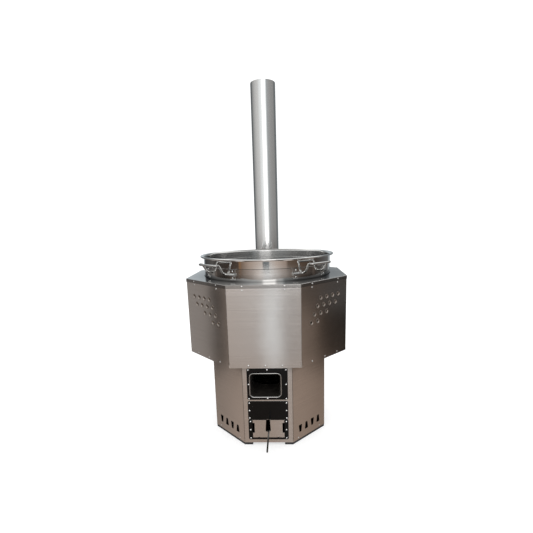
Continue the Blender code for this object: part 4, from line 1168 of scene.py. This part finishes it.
class STOVE_OT_saddles(bpy.types.Operator):
    """Bend the straps that hold the handles, with two rivets in each"""

    bl_idname = "stove.saddles"
    bl_label = "Saddles and rivets"

    def execute(self, context):
        sizes = context.scene.stove_cauldron
        foot_z = TOP_Z + sizes.handle_low
        lug = CLEAR + sizes.saddle_sheet
        strap = self.strap(sizes, lug, foot_z)
        head = rivet_head("rivet_master", context.scene.stove_fittings.rivet, RIVET_HEIGHT)
        for name, turn in HANDLE_TURNS.items():
            heads = []
            for side, sign in (("a", 1), ("b", -1)):
                saddle_turn = turn + sign * SADDLE_TURN
                saddle = copied(strap, "saddle_" + name + "_" + side)
                turn_piece(saddle, saddle_turn)
                node = "handle_saddle_" + name + "_" + side
                settle(saddle, "bright_steel", "polished_stainless", "cauldron", node)
                for rise in (-RIVET_RISE, RIVET_RISE):
                    place = Matrix.Translation((0, AXIS_Y - sizes.radius - lug, foot_z + rise))
                    heads.append(about_axis(saddle_turn) @ place)
            settle(set_out("rivets_" + name, head, heads), "zinc", "polished_stainless", "cauldron")
        drop(strap, head)
        return {"FINISHED"}

    def strap(self, sizes, lug, foot_z):
        """A strap bent over the bar, facing the front."""
        hub = CLEAR + sizes.bar_radius
        outer = hub + sizes.saddle_sheet
        corners = [(lug, -outer - sizes.saddle_lug), (lug, -outer - STRAP_LEAD)]
        corners += arc((hub, 0), outer, -pi / 2, pi / 2, 14)
        corners += [(lug, outer), (lug, outer + sizes.saddle_lug)]
        bends = rounded(corners, STRAP_BEND, 1, False)
        wall = AXIS_Y - sizes.radius
        line = [(-sizes.saddle_width / 2, wall - reach, foot_z + rise) for reach, rise in bends]
        strap = draw_line("saddle_master", line)
        bpy.ops.mesh.extrude_region_move(TRANSFORM_OT_translate={"value": (sizes.saddle_width, 0, 0)})
        bpy.ops.mesh.select_all(action="SELECT")
        bpy.ops.mesh.normals_make_consistent(inside=False)
        close_piece()
        face_outwards(strap, strap.data.polygons, lambda face: -face.normal.y)
        thicken(strap, sizes.saddle_sheet)
        ease_edges(strap, STRAP_EDGE, 2, radians(60))
        smooth(strap, True)
        return strap


class STOVE_OT_front_plates(bpy.types.Operator):
    """Model the three black plates on the cabinet front"""

    bl_idname = "stove.front_plates"
    bl_label = "Front plates"

    def execute(self, context):
        fittings = context.scene.stove_fittings
        inset = 2 * fittings.rim_bar - CLEAR
        hole = rounded(face_of(RIM_LOW, RIM_HIGH, inset), fittings.feed_corner - inset, 8)
        left, right = DRAWER_LOW.x - DRAWER_PLAY, DRAWER_HIGH.x + DRAWER_PLAY
        window = rectangle(left, right, DRAWER_LOW.z - DRAWER_PLAY, FRAME_HIGH.z + OVERRUN)
        for name, node, low, high, openings in (
            ("plate_feed", "feed_frame", FEED_LOW, FEED_HIGH, [hole]),
            ("plate_blank", "blanking_plate", BLANK_LOW, BLANK_HIGH, []),
            ("plate_drawer", "drawer_frame", FRAME_LOW, FRAME_HIGH, [window]),
        ):
            plate = slab(name, rounded(face_of(low, high), fittings.plate_corner, 6), low.y, high.y)
            for outline in openings:
                punch(plate, outline, low.y, high.y)
            ease_edges(plate, fittings.plate_edge, 2)
            smooth(plate, True)
            settle(plate, "enamel", "black_enamel", "stove", node)
        return {"FINISHED"}


class STOVE_OT_feed_rim(bpy.types.Operator):
    """Bend the bright bar round the fuel feed"""

    bl_idname = "stove.feed_rim"
    bl_label = "Feed rim"

    def execute(self, context):
        fittings = context.scene.stove_fittings
        bar = fittings.rim_bar
        outline = rounded(face_of(RIM_LOW, RIM_HIGH, bar), fittings.feed_corner - bar, 10)
        middle_y = (RIM_LOW.y + RIM_HIGH.y) / 2
        rim = round_bar("feed_rim_bar", [(x, middle_y, z) for x, z in outline], bar, 6, True)
        settle(rim, "rim_steel", "polished_stainless", "stove", "feed_rim")
        return {"FINISHED"}


# Drawer front: the notch for the rod (half widths at its mouth and floor), the finger notches at its
# sides and the two small holes at its foot
NOTCH_OFFSET = 0.0035
NOTCH_MOUTH, NOTCH_FLOOR = 0.0085, 0.013
NOTCH_DROP, NOTCH_CORNER = 0.008, 0.008
FINGER_HALF, FINGER_RISE, FINGER_LENGTH, FINGER_CORNER = 0.009, 0.025, 0.052, 0.002
HOLE_X, HOLE_RADIUS = 0.048, 0.0045


class STOVE_OT_drawer(bpy.types.Operator):
    """Model the drawer's front with its notches"""

    bl_idname = "stove.drawer"
    bl_label = "Drawer front"

    def execute(self, context):
        low, high = DRAWER_LOW, DRAWER_HIGH
        drawer = slab("drawer_face", face_of(low, high), low.y, high.y)
        centre, mouth_z, floor_z = ROD_X - NOTCH_OFFSET, high.z + OVERRUN, ROD_LOW.z - NOTCH_DROP
        notch = [
            (centre - NOTCH_MOUTH, mouth_z), (centre - NOTCH_FLOOR, floor_z),
            (centre + NOTCH_FLOOR, floor_z), (centre + NOTCH_MOUTH, mouth_z),
        ]
        outlines = [rounded(notch, NOTCH_CORNER, 8, False)]
        finger_z = low.z + FINGER_RISE
        for side in (low.x, high.x):
            finger = rectangle(side - FINGER_HALF, side + FINGER_HALF, finger_z, finger_z + FINGER_LENGTH)
            outlines.append(rounded(finger, FINGER_CORNER, 4))
        for across in (-HOLE_X, HOLE_X):
            outlines.append(arc((across, low.z), HOLE_RADIUS, 0, 2 * pi, 24)[:-1])
        for outline in outlines:
            punch(drawer, outline, low.y, high.y)
        ease_edges(drawer, DRAWER_EDGE)
        smooth(drawer, True)
        settle(drawer, "brushed_steel", "brushed_stainless", "ash_drawer", "drawer_front")
        return {"FINISHED"}


# Rod: chamfer of its inner end
ROD_CHAMFER = 0.0006


class STOVE_OT_shaker_rod(bpy.types.Operator):
    """Turn the shaker rod with its rounded tip"""

    bl_idname = "stove.shaker_rod"
    bl_label = "Shaker rod"

    def execute(self, context):
        radius, chamfer = ROD_RADIUS, ROD_CHAMFER
        tip, end = ROD_LOW.y, ROD_HIGH.y
        line = [(0.0, end), (radius - chamfer, end), (radius, end - chamfer)]
        line += [(radius, end + (tip - end) * part) for part in (0.3, 0.6)]
        for angle in (0, 18, 36, 54, 72):
            line.append((radius * cos(radians(angle)), tip + radius * (1 - sin(radians(angle)))))
        line.append((0.0, tip))
        points = [(ROD_X + across, place, ROD_Z) for across, place in line]
        rod = spun("shaker_bar", points, ROD_STEPS, (ROD_X, 0, ROD_Z), (0, 1, 0))
        smooth(rod)
        settle(rod, "rod_steel", "black_enamel", "shaker_grate", "shaker_rod")
        return {"FINISHED"}


# Flue: wall of the pipe and the elbow, how much thinner than the pipe the elbow is, straight run before the
# bend, height of each ring of the bead above it, how far the bead swells, and the flange's chamfers
FLUE_WALL = 0.001
SPIGOT_PLAY = 0.0015
STRAIGHT = 0.006
BEAD_RING, BEAD_SWELL = 0.003, 1.04
BORE_CHAMFER, OUTER_CHAMFER = 0.0004, 0.0006


class STOVE_OT_flue(bpy.types.Operator):
    """Model the elbow and the flange behind the housing"""

    bl_idname = "stove.flue"
    bl_label = "Flue elbow and flange"

    def execute(self, context):
        radius = PIPE_RADIUS - SPIGOT_PLAY
        self.elbow(radius)
        self.flange(radius + CLEAR)
        return {"FINISHED"}

    def elbow(self, radius):
        """A round tube from the wall that turns up into the pipe, with a bead above the bend."""
        start = ELBOW_LOW.y
        bend = PIPE_Y - start - STRAIGHT
        top = FLUE_Z + bend
        let_go()
        bpy.ops.mesh.primitive_circle_add(
            vertices=FLUE_STEPS, radius=radius, rotation=(-pi / 2, 0, 0), location=(PIPE_X, start, FLUE_Z)
        )
        elbow = fresh("flue_bend")
        apply_place(elbow)
        open_piece(elbow, "SELECT")
        bpy.ops.mesh.extrude_region_move(TRANSFORM_OT_translate={"value": (0, STRAIGHT, 0)})
        bpy.ops.mesh.spin(steps=20, angle=-pi / 2, center=(PIPE_X, start + STRAIGHT, top), axis=(1, 0, 0))
        rings = [(BEAD_RING, grow) for grow in (1.0, BEAD_SWELL, 1.0, 1 / BEAD_SWELL)]
        for rise, grow in rings + [(ELBOW_HIGH.z - top - 4 * BEAD_RING, 1.0)]:
            bpy.ops.mesh.extrude_region_move(TRANSFORM_OT_translate={"value": (0, 0, rise)})
            if grow != 1.0:
                bpy.ops.transform.resize(value=(grow, grow, 1), center_override=(PIPE_X, PIPE_Y, 0))
        close_piece()
        tidy_mesh(elbow)
        above = [face for face in elbow.data.polygons if face.center.z > top]
        pipe_axis = Vector((PIPE_X, PIPE_Y))
        face_outwards(elbow, above, lambda face: face.normal.xy.dot(face.center.xy - pipe_axis))
        thicken(elbow, FLUE_WALL)
        smooth(elbow, True)
        settle(elbow, "pipe_steel", "brushed_stainless", "stove", "flue_elbow")

    def flange(self, inner):
        """A turned ring against the housing."""
        back, front, outer = FLANGE_HIGH.y, FLANGE_LOW.y, FLANGE_RADIUS
        small, large = BORE_CHAMFER, OUTER_CHAMFER
        line = [
            (inner, front), (inner, back - small), (inner + small, back),
            (outer - large, back), (outer, back - large), (outer, front), (inner, front),
        ]
        points = [(PIPE_X + across, place, FLUE_Z) for across, place in line]
        flange = spun("flue_ring", points, FLUE_STEPS, (PIPE_X, 0, FLUE_Z), (0, 1, 0))
        smooth(flange, True)
        settle(flange, "brushed_steel", "brushed_stainless", "stove", "flue_flange")


# Pipe: height of a ring of corners above its foot, and depth and width of the chamfers at its top
PIPE_RING = 0.3
PIPE_CHAMFER_DEPTH, PIPE_CHAMFER = 0.0008, 0.0003


class STOVE_OT_chimney(bpy.types.Operator):
    """Roll the chimney pipe"""

    bl_idname = "stove.chimney"
    bl_label = "Chimney pipe"

    def execute(self, context):
        outer, inner = PIPE_RADIUS, PIPE_RADIUS - FLUE_WALL
        low, high = PIPE_LOW.z, PIPE_HIGH.z
        half, shoulder, edge = (low + high) / 2, high - PIPE_CHAMFER_DEPTH, PIPE_CHAMFER
        line = [
            (inner, low), (outer, low), (outer, low + PIPE_RING), (outer, half), (outer, shoulder),
            (outer - edge, high), (inner + edge, high), (inner, shoulder), (inner, half), (inner, low),
        ]
        points = [(PIPE_X + across, PIPE_Y, height) for across, height in line]
        pipe = spun("chimney_tube", points, PIPE_STEPS, (PIPE_X, PIPE_Y, 0))
        smooth(pipe, True)
        settle(pipe, "pipe_steel", "polished_stainless", "chimney", "chimney_pipe")
        return {"FINISHED"}


class STOVE_OT_feet(bpy.types.Operator):
    """Soften the black rails that the cabinet stands on"""

    bl_idname = "stove.feet"
    bl_label = "Foot rails"

    def execute(self, context):
        for name in DIAGONAL_NAMES:
            rail = copied(frame["nodes"]["foot_rail_" + name], "foot_" + name)
            rail.parent = None
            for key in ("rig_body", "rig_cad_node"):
                del rail[key]
            open_piece(rail, "SELECT")
            bpy.ops.mesh.remove_doubles(threshold=MERGE)
            bpy.ops.mesh.dissolve_limited(angle_limit=radians(2))
            close_piece()
            ease_edges(rail, RAIL_EDGE, 3)
            smooth(rail)
            settle(rail, "rubber", "black_rubber", "stove", "foot_rail_" + name)
        return {"FINISHED"}


# Screws: distance from the middle and heights above the cabinet's foot on each plate. Then, on the casings,
# distances from the middle of a face and from the edges of the sheets, and the heights of the heads
PLATE_SCREWS = {
    "feed": (0.089, (0.378, 0.305, 0.2325)),
    "blank": (0.089, (0.210, 0.171, 0.132)),
    "drawer": (0.087, (0.113, 0.070, 0.026)),
}
FEED_TOP_SCREW, FEED_LOW_SCREW = 0.3785, 0.0075
HOUSING_SCREW_X, FRONT_SCREW_X, CABINET_SCREW_X = 0.090, 0.075, 0.080
FLANGE_DROP, HOUSING_DROP, HOUSING_RISE, CABINET_RISE = 0.0075, 0.0240, 0.0105, 0.008
FLUE_SCREW_RADIUS = 0.0835
PLATE_HEAD, PANEL_HEAD = 0.0028, 0.0017


class STOVE_OT_screws(bpy.types.Operator):
    """Set the screws of the plates, the casings and the flange"""

    bl_idname = "stove.screws"
    bl_label = "Screws"

    def execute(self, context):
        fittings = context.scene.stove_fittings
        big = screw_head("plate_screw_master", fittings.plate_screw, PLATE_HEAD)
        small = screw_head("panel_screw_master", fittings.panel_screw, PANEL_HEAD)
        rows = [("plate_" + name, big, self.on_plate(name)) for name in PLATE_SCREWS]
        rows += [("casing_" + face, small, self.on_casing(index)) for index, face in enumerate(FACE_NAMES)]
        rows.append(("flange", small, self.on_flange()))
        for name, master, places in rows:
            settle(set_out("screws_" + name, master, places), "zinc", "bright_zinc", "stove")
        drop(big, small)
        return {"FINISHED"}

    def on_plate(self, name):
        """Places of the screws on one black plate."""
        across, rises = PLATE_SCREWS[name]
        spots = [(x, CABINET_LOW.z + rise) for x in (-across, across) for rise in rises]
        if name == "feed":
            spots += [(0.0, CABINET_LOW.z + FEED_TOP_SCREW), (0.0, FEED_LOW.z + FEED_LOW_SCREW)]
        return [Matrix.Translation((x, FEED_LOW.y, z)) for x, z in spots]

    def on_casing(self, index):
        """Places of the screws on one face of the top plate, the housing and the cabinet."""
        places = []
        for along in (-HOUSING_SCREW_X, HOUSING_SCREW_X):
            if FACE_NAMES[index] not in ("left", "right"):
                places.append(on_face(index, TOP_APOTHEM, along, TOP_Z - FLANGE_DROP))
            places.append(on_face(index, HOUSING_APOTHEM, along, TOP_Z - HOUSING_DROP))
        side = FRONT_SCREW_X if index == FRONT else HOUSING_SCREW_X
        for along in (-side, 0.0, side):
            places.append(on_face(index, HOUSING_APOTHEM, along, HOUSING_LOW.z + HOUSING_RISE))
        if index != FRONT:
            for along in (-CABINET_SCREW_X, CABINET_SCREW_X):
                places.append(on_face(index, CABINET_APOTHEM, along, CABINET_LOW.z + CABINET_RISE))
        return places

    def on_flange(self):
        """Places of the screws on the flue's flange."""
        corners = arc((PIPE_X, FLUE_Z), FLUE_SCREW_RADIUS, pi / 4, 7 * pi / 4, 3)
        half_turn = Matrix.Rotation(pi, 4, "Z")
        return [Matrix.Translation((x, FLANGE_HIGH.y, z)) @ half_turn for x, z in corners]


# Finishes of the frame's own pieces, by their slots
INNER_FINISHES = {"fire_steel": "fire_steel", "dark_stainless": "dark_steel", "bright_zinc": "zinc"}


class STOVE_OT_inner_finish(bpy.types.Operator):
    """Give the frame's own inner pieces their finishes"""

    bl_idname = "stove.inner_finish"
    bl_label = "Inner pieces"

    def execute(self, context):
        slots = {row["node"]: row["material_slot"] for row in frame["record"]["subparts"]}
        for name, node in frame["nodes"].items():
            if node.hide_render:
                continue
            if slots[name] not in INNER_FINISHES:
                raise RuntimeError(f"{name} has no new piece and no finish")
            node.data.materials.clear()
            node.data.materials.append(FINISHES[INNER_FINISHES[slots[name]]])
        return {"FINISHED"}


# Studio: the floor, the light overhead, the camera's place from the cauldron's axis, and its shift
FLOOR_SIZE = 60.0
FLOOR_DROP = 0.0002
FLOOR_TONE = 0.55
FLOOR_GLOW = 0.58
ROOM_LIGHT = 1.15
KEY_PLACE = (0.0, -0.3, 4.2)
KEY_SIZE = 3.2
CAMERA_PLACE = Vector((0.09456, -1.86903, 1.0555))
CAMERA_SHIFT = (-0.0058, 0.0555)

# What the steel mirrors: rings of light round the stove, one for each height of ray, and above and below
# them plain levels. A ring is a row of stops: bearing in degrees from the front, to the left below 0 and to
# the right above, then brightness, then warmth, from cool daylight below 0 to brown at 1 and above
BRIGHTEST = 3.2
WINDOW_RING = (
    (-180, 0.46, -0.4), (-166, 0.54, -0.4), (-152, 0.34, -0.3), (-144, 0.08, -0.3), (-126, 0.14, -0.3),
    (-112, 0.32, -0.1), (-97, 0.47, 0.0), (-74, 0.64, 0.0), (-44, 0.78, 0.0), (-40, 0.88, -0.1),
    (-17, 1.12, -0.1), (-7, 1.50, 0.0), (-3, 3.20, 0.0), (15, 3.20, 0.0), (19, 1.30, 0.0),
    (28, 1.08, -0.2), (33, 0.47, -0.2), (60, 0.40, 0.0), (84, 0.35, 0.0), (108, 0.33, 0.0),
    (130, 0.14, -0.4), (150, 0.24, -0.3), (170, 0.28, -0.3), (180, 0.46, -0.4),
)
SILL_RING = (
    (-180, 0.55, -0.3), (-152, 0.50, -0.3), (-144, 0.05, 0.0), (-110, 0.10, 0.3), (-90, 0.05, 0.5),
    (-66, 0.05, 1.0), (-48, 0.08, 1.1), (-46, 0.30, 1.8), (-43, 0.26, 1.6), (-41, 0.24, 1.2),
    (-28, 0.46, 0.9), (-5.2, 0.62, 0.5), (-3.8, 0.12, -0.5), (5.8, 0.16, -0.5), (7.2, 0.60, 0.3),
    (18, 0.56, 0.7), (35, 0.37, 0.9), (39, 0.13, 1.2), (66, 0.10, 1.3), (90, 0.06, 1.0),
    (118, 0.10, 0.2), (142, 0.14, 0.0), (152, 0.40, -0.3), (180, 0.55, -0.3),
)
FOOT_RING = (
    (-180, 0.55, -0.3), (-152, 0.50, -0.3), (-144, 0.05, 0.0), (-120, 0.12, 0.3), (-108, 0.38, 0.3),
    (-103, 0.35, 0.4), (-102, 0.26, 0.5), (-101.3, 0.10, 0.7), (-100.8, 0.09, 0.8), (-100.2, 0.24, 0.7),
    (-98, 0.24, 0.8), (-97, 0.11, 0.8), (-76, 0.05, 0.6), (-58, 0.15, 1.0), (-44, 0.18, 0.9),
    (-24, 0.48, 0.5), (-11, 0.88, 0.3), (4, 1.06, 0.0), (16, 0.80, 0.1), (28, 0.48, 0.3),
    (46, 0.24, 0.6), (66, 0.12, 0.8), (88, 0.06, 0.7), (92, 0.16, 0.8), (94, 0.11, 0.9),
    (97, 0.07, 0.7), (118, 0.10, 0.2), (142, 0.14, 0.0), (152, 0.40, -0.3), (180, 0.55, -0.3),
)
SHELF_RING = (
    (-180, 0.55, -0.3), (-152, 0.50, -0.3), (-144, 0.05, 0.0), (-120, 0.12, 0.3), (-108, 0.38, 0.3),
    (-103, 0.35, 0.4), (-102.2, 0.25, 0.5), (-101.6, 0.05, 0.7), (-100.9, 0.04, 0.8), (-100.2, 0.22, 0.7),
    (-98, 0.24, 0.8), (-97, 0.11, 0.8), (-76, 0.05, 0.6), (-46, 0.16, 1.0), (-30, 0.32, 0.9),
    (-12, 0.58, 0.5), (-4.2, 0.62, 0.2), (-2.7, 0.90, -0.15), (-1.7, 0.98, -0.15), (-0.9, 0.46, 0.2),
    (3, 0.46, 0.4), (14, 0.50, 0.6), (31, 0.40, 0.8), (42, 0.20, 1.0), (72, 0.08, 1.0),
    (88, 0.06, 0.7), (92, 0.13, 0.9), (94, 0.10, 0.9), (97, 0.11, 0.4), (100, 0.09, 0.1),
    (118, 0.10, 0.2), (180, 0.55, -0.3),
)
WALL_RING = (
    (-180, 0.60, -0.4), (-152, 0.55, -0.4), (-144, 0.05, 0.2), (-108, 0.38, 0.3), (-103, 0.35, 0.4),
    (-102.2, 0.25, 0.5), (-101.6, 0.05, 0.7), (-100.9, 0.04, 0.8), (-100.1, 0.22, 0.7), (-98, 0.30, 0.8),
    (-96.6, 0.11, 0.8), (-76, 0.05, 0.6), (-46, 0.16, 1.0), (-30, 0.32, 0.9), (-12, 0.62, 0.5),
    (-4.2, 0.62, 0.25), (-2.7, 1.10, -0.15), (-1.7, 1.12, -0.15), (-0.9, 0.50, 0.2), (14, 0.54, 0.6),
    (31, 0.40, 0.8), (42, 0.20, 1.0), (72, 0.08, 1.0), (88, 0.06, 0.7), (92, 0.34, 0.9),
    (94, 0.175, 1.0), (95.8, 0.09, 1.1), (97, 0.045, 1.0), (102, 0.004, 0.6), (118, 0.11, 0.1),
    (152, 0.40, -0.4), (180, 0.60, -0.4),
)
GROUND_RING = (
    (-180, 0.45, 0.0), (-130, 0.20, 0.4), (-103, 0.33, 0.7), (-97, 0.50, 0.8), (-92, 0.40, 0.9),
    (-84, 0.06, 0.9), (-60, 0.08, 0.8), (-54, 1.10, 0.3), (-44, 1.10, 0.3), (-38, 0.08, 0.8),
    (-14, 0.44, 0.8), (-8.4, 0.45, 0.8), (-7.2, 0.56, 0.7), (-6.4, 0.47, 0.8), (-0.4, 0.50, 0.7),
    (0.3, 0.64, 0.4), (1.0, 0.54, 0.6), (12, 0.50, 0.8), (32, 0.10, 0.8), (38, 1.10, 0.3),
    (48, 1.10, 0.3), (54, 0.08, 0.8), (82, 0.06, 0.9), (91, 0.47, 0.9), (96, 0.31, 1.0),
    (120, 0.15, 0.5), (180, 0.45, 0.0),
)

# The rings from the ground up and then the plain levels, each with the heights between which it takes over
RINGS = (
    (-0.405, -0.365, WALL_RING), (-0.25, -0.20, SHELF_RING), (-0.172, -0.160, FOOT_RING),
    (-0.128, -0.116, SILL_RING), (-0.085, -0.055, WINDOW_RING),
)
LEVELS = ((0.50, 0.60, 1.4), (0.76, 0.84, 0.3), (-0.68, -0.80, 0.07))


class STOVE_OT_studio(bpy.types.Operator):
    """Set the pale floor, the soft surroundings and the camera"""

    bl_idname = "stove.studio"
    bl_label = "Studio"

    def execute(self, context):
        studio = context.scene.stove_studio
        self.floor(context.scene.stove_finish.floor)
        self.surroundings(context.scene)
        let_go()
        bpy.ops.object.light_add(type="AREA", location=KEY_PLACE)
        light = fresh("soft_light")
        light.data.shape = "RECTANGLE"
        light.data.size = KEY_SIZE
        light.data.size_y = KEY_SIZE
        light.data.energy = studio.key
        light.visible_glossy = False
        self.camera(context.scene, studio)
        context.scene.view_settings.view_transform = "Standard"
        return {"FINISHED"}

    def floor(self, shade):
        """A wide pale floor that mirrors don't see."""
        let_go()
        bpy.ops.mesh.primitive_plane_add(size=FLOOR_SIZE, location=(0, 0, -FLOOR_DROP))
        floor = fresh("studio_floor")
        tree, shader = new_finish("studio_floor")
        for name, value in (
            ("Base Color", tone(shade, FLOOR_TONE)), ("Emission Color", (1, 1, 1, 1)),
            ("Emission Strength", FLOOR_GLOW), ("Roughness", 0.9), ("Specular IOR Level", 0.1),
        ):
            shader.inputs[name].default_value = value
        clear = add_node(tree, "ShaderNodeBsdfTransparent")
        surface = self.by_ray(tree, shader.outputs[0], clear.outputs[0])
        fill(tree, tree.nodes["Material Output"].inputs["Surface"], surface)
        floor.data.materials.append(FINISHES["studio_floor"])

    def by_ray(self, tree, seen, mirrored):
        """One shader for plain sight and another for mirrors."""
        path = add_node(tree, "ShaderNodeLightPath")
        inputs = [(0, path.outputs["Is Glossy Ray"]), (1, seen), (2, mirrored)]
        return add_node(tree, "ShaderNodeMixShader", inputs).outputs[0]

    def surroundings(self, scene):
        """Rings of light and dark for the steel to mirror, and white elsewhere."""
        world = bpy.data.worlds.new("studio_world")
        scene.world = world
        world.use_nodes = True
        tree = world.node_tree
        tree.nodes.clear()
        coords = add_node(tree, "ShaderNodeTexCoord")
        parts = add_node(tree, "ShaderNodeSeparateXYZ", [(0, coords.outputs["Generated"])]).outputs
        bearing = maths(tree, "ARCTAN2", parts["X"], maths(tree, "MULTIPLY", parts["Y"], -1.0))
        along = spread(tree, bearing, -pi, pi)
        seen = self.ring(tree, along, GROUND_RING)
        for low, high, stops in RINGS:
            seen = mixed(tree, spread(tree, parts["Z"], low, high), seen, self.ring(tree, along, stops))
        for low, high, brightness in LEVELS:
            level = tone((1, 1, 1), brightness / BRIGHTEST)
            seen = mixed(tree, spread(tree, parts["Z"], low, high), seen, level)
        room = add_node(tree, "ShaderNodeBackground", [("Color", (1, 1, 1, 1)), ("Strength", ROOM_LIGHT)])
        mirrored = add_node(tree, "ShaderNodeBackground", [("Color", seen), ("Strength", BRIGHTEST)])
        surface = self.by_ray(tree, room.outputs[0], mirrored.outputs[0])
        add_node(tree, "ShaderNodeOutputWorld", [("Surface", surface)])

    def ring(self, tree, along, stops):
        """Upright bands of light round the stove."""
        ramp = add_node(tree, "ShaderNodeValToRGB", [("Fac", along)])
        elements = ramp.color_ramp.elements
        elements.remove(elements[-1])
        for number, (degrees, brightness, warmth) in enumerate(stops):
            place = degrees / 360 + 0.5
            level = brightness / BRIGHTEST
            element = elements.new(place) if number else elements[0]
            element.position = place
            element.color = (level, level * (1 - 0.25 * warmth), level * (1 - 0.40 * warmth), 1)
        return ramp.outputs[0]

    def camera(self, scene, studio):
        """The camera of the photograph."""
        data = bpy.data.cameras.new("camera")
        data.lens = studio.lens
        data.sensor_width = 36.0
        data.shift_x, data.shift_y = CAMERA_SHIFT
        data.clip_end = 200.0
        camera = bpy.data.objects.new("camera", data)
        scene.collection.objects.link(camera)
        yaw, pitch, roll = studio.yaw, studio.pitch, studio.roll
        ahead = Vector((sin(yaw) * cos(pitch), cos(yaw) * cos(pitch), -sin(pitch)))
        right = Vector((cos(yaw), -sin(yaw), 0))
        up = right.cross(ahead)
        across = cos(roll) * right + sin(roll) * up
        above = -sin(roll) * right + cos(roll) * up
        axes = Matrix((across, above, -ahead)).transposed().to_4x4()
        camera.matrix_world = Matrix.Translation(AXIS + CAMERA_PLACE) @ axes
        scene.camera = camera


class STOVE_PT_tools(bpy.types.Panel):
    """Lists the stove's pieces in the sidebar"""

    bl_label = "Cauldron stove"
    bl_idname = "STOVE_PT_tools"
    bl_space_type = "VIEW_3D"
    bl_region_type = "UI"
    bl_category = "Stove"

    def draw(self, context):
        column = self.layout.column(align=True)
        for operator in OPERATORS:
            column.operator(operator.bl_idname)
        for title, settings in SETTINGS.items():
            box = self.layout.box()
            box.label(text=title.capitalize())
            group = getattr(context.scene, "stove_" + title)
            for name in settings.__annotations__:
                box.prop(group, name)


SETTINGS = {
    "casing": StoveCasing,
    "cauldron": StoveCauldron,
    "fittings": StoveFittings,
    "finish": StoveFinish,
    "studio": StoveStudio,
}
OPERATORS = (
    STOVE_OT_finishes,
    STOVE_OT_housing_panels,
    STOVE_OT_cabinet_panels,
    STOVE_OT_top_plate,
    STOVE_OT_cauldron,
    STOVE_OT_handles,
    STOVE_OT_saddles,
    STOVE_OT_front_plates,
    STOVE_OT_feed_rim,
    STOVE_OT_drawer,
    STOVE_OT_shaker_rod,
    STOVE_OT_flue,
    STOVE_OT_chimney,
    STOVE_OT_feet,
    STOVE_OT_screws,
    STOVE_OT_inner_finish,
    STOVE_OT_studio,
)


def register():
    """Register the settings, the operators and the panel."""
    for title, settings in SETTINGS.items():
        bpy.utils.register_class(settings)
        setattr(bpy.types.Scene, "stove_" + title, bpy.props.PointerProperty(type=settings))
    for operator in OPERATORS:
        bpy.utils.register_class(operator)
    bpy.utils.register_class(STOVE_PT_tools)


def unregister():
    """Take the settings, the operators and the panel away again."""
    bpy.utils.unregister_class(STOVE_PT_tools)
    for operator in reversed(OPERATORS):
        bpy.utils.unregister_class(operator)
    for title, settings in SETTINGS.items():
        delattr(bpy.types.Scene, "stove_" + title)
        bpy.utils.unregister_class(settings)


def main():
    """Make every piece in order."""
    register()
    for operator in OPERATORS:
        group, name = operator.bl_idname.split(".")
        getattr(getattr(bpy.ops, group), name)()


if __name__ == "__main__":
    main()
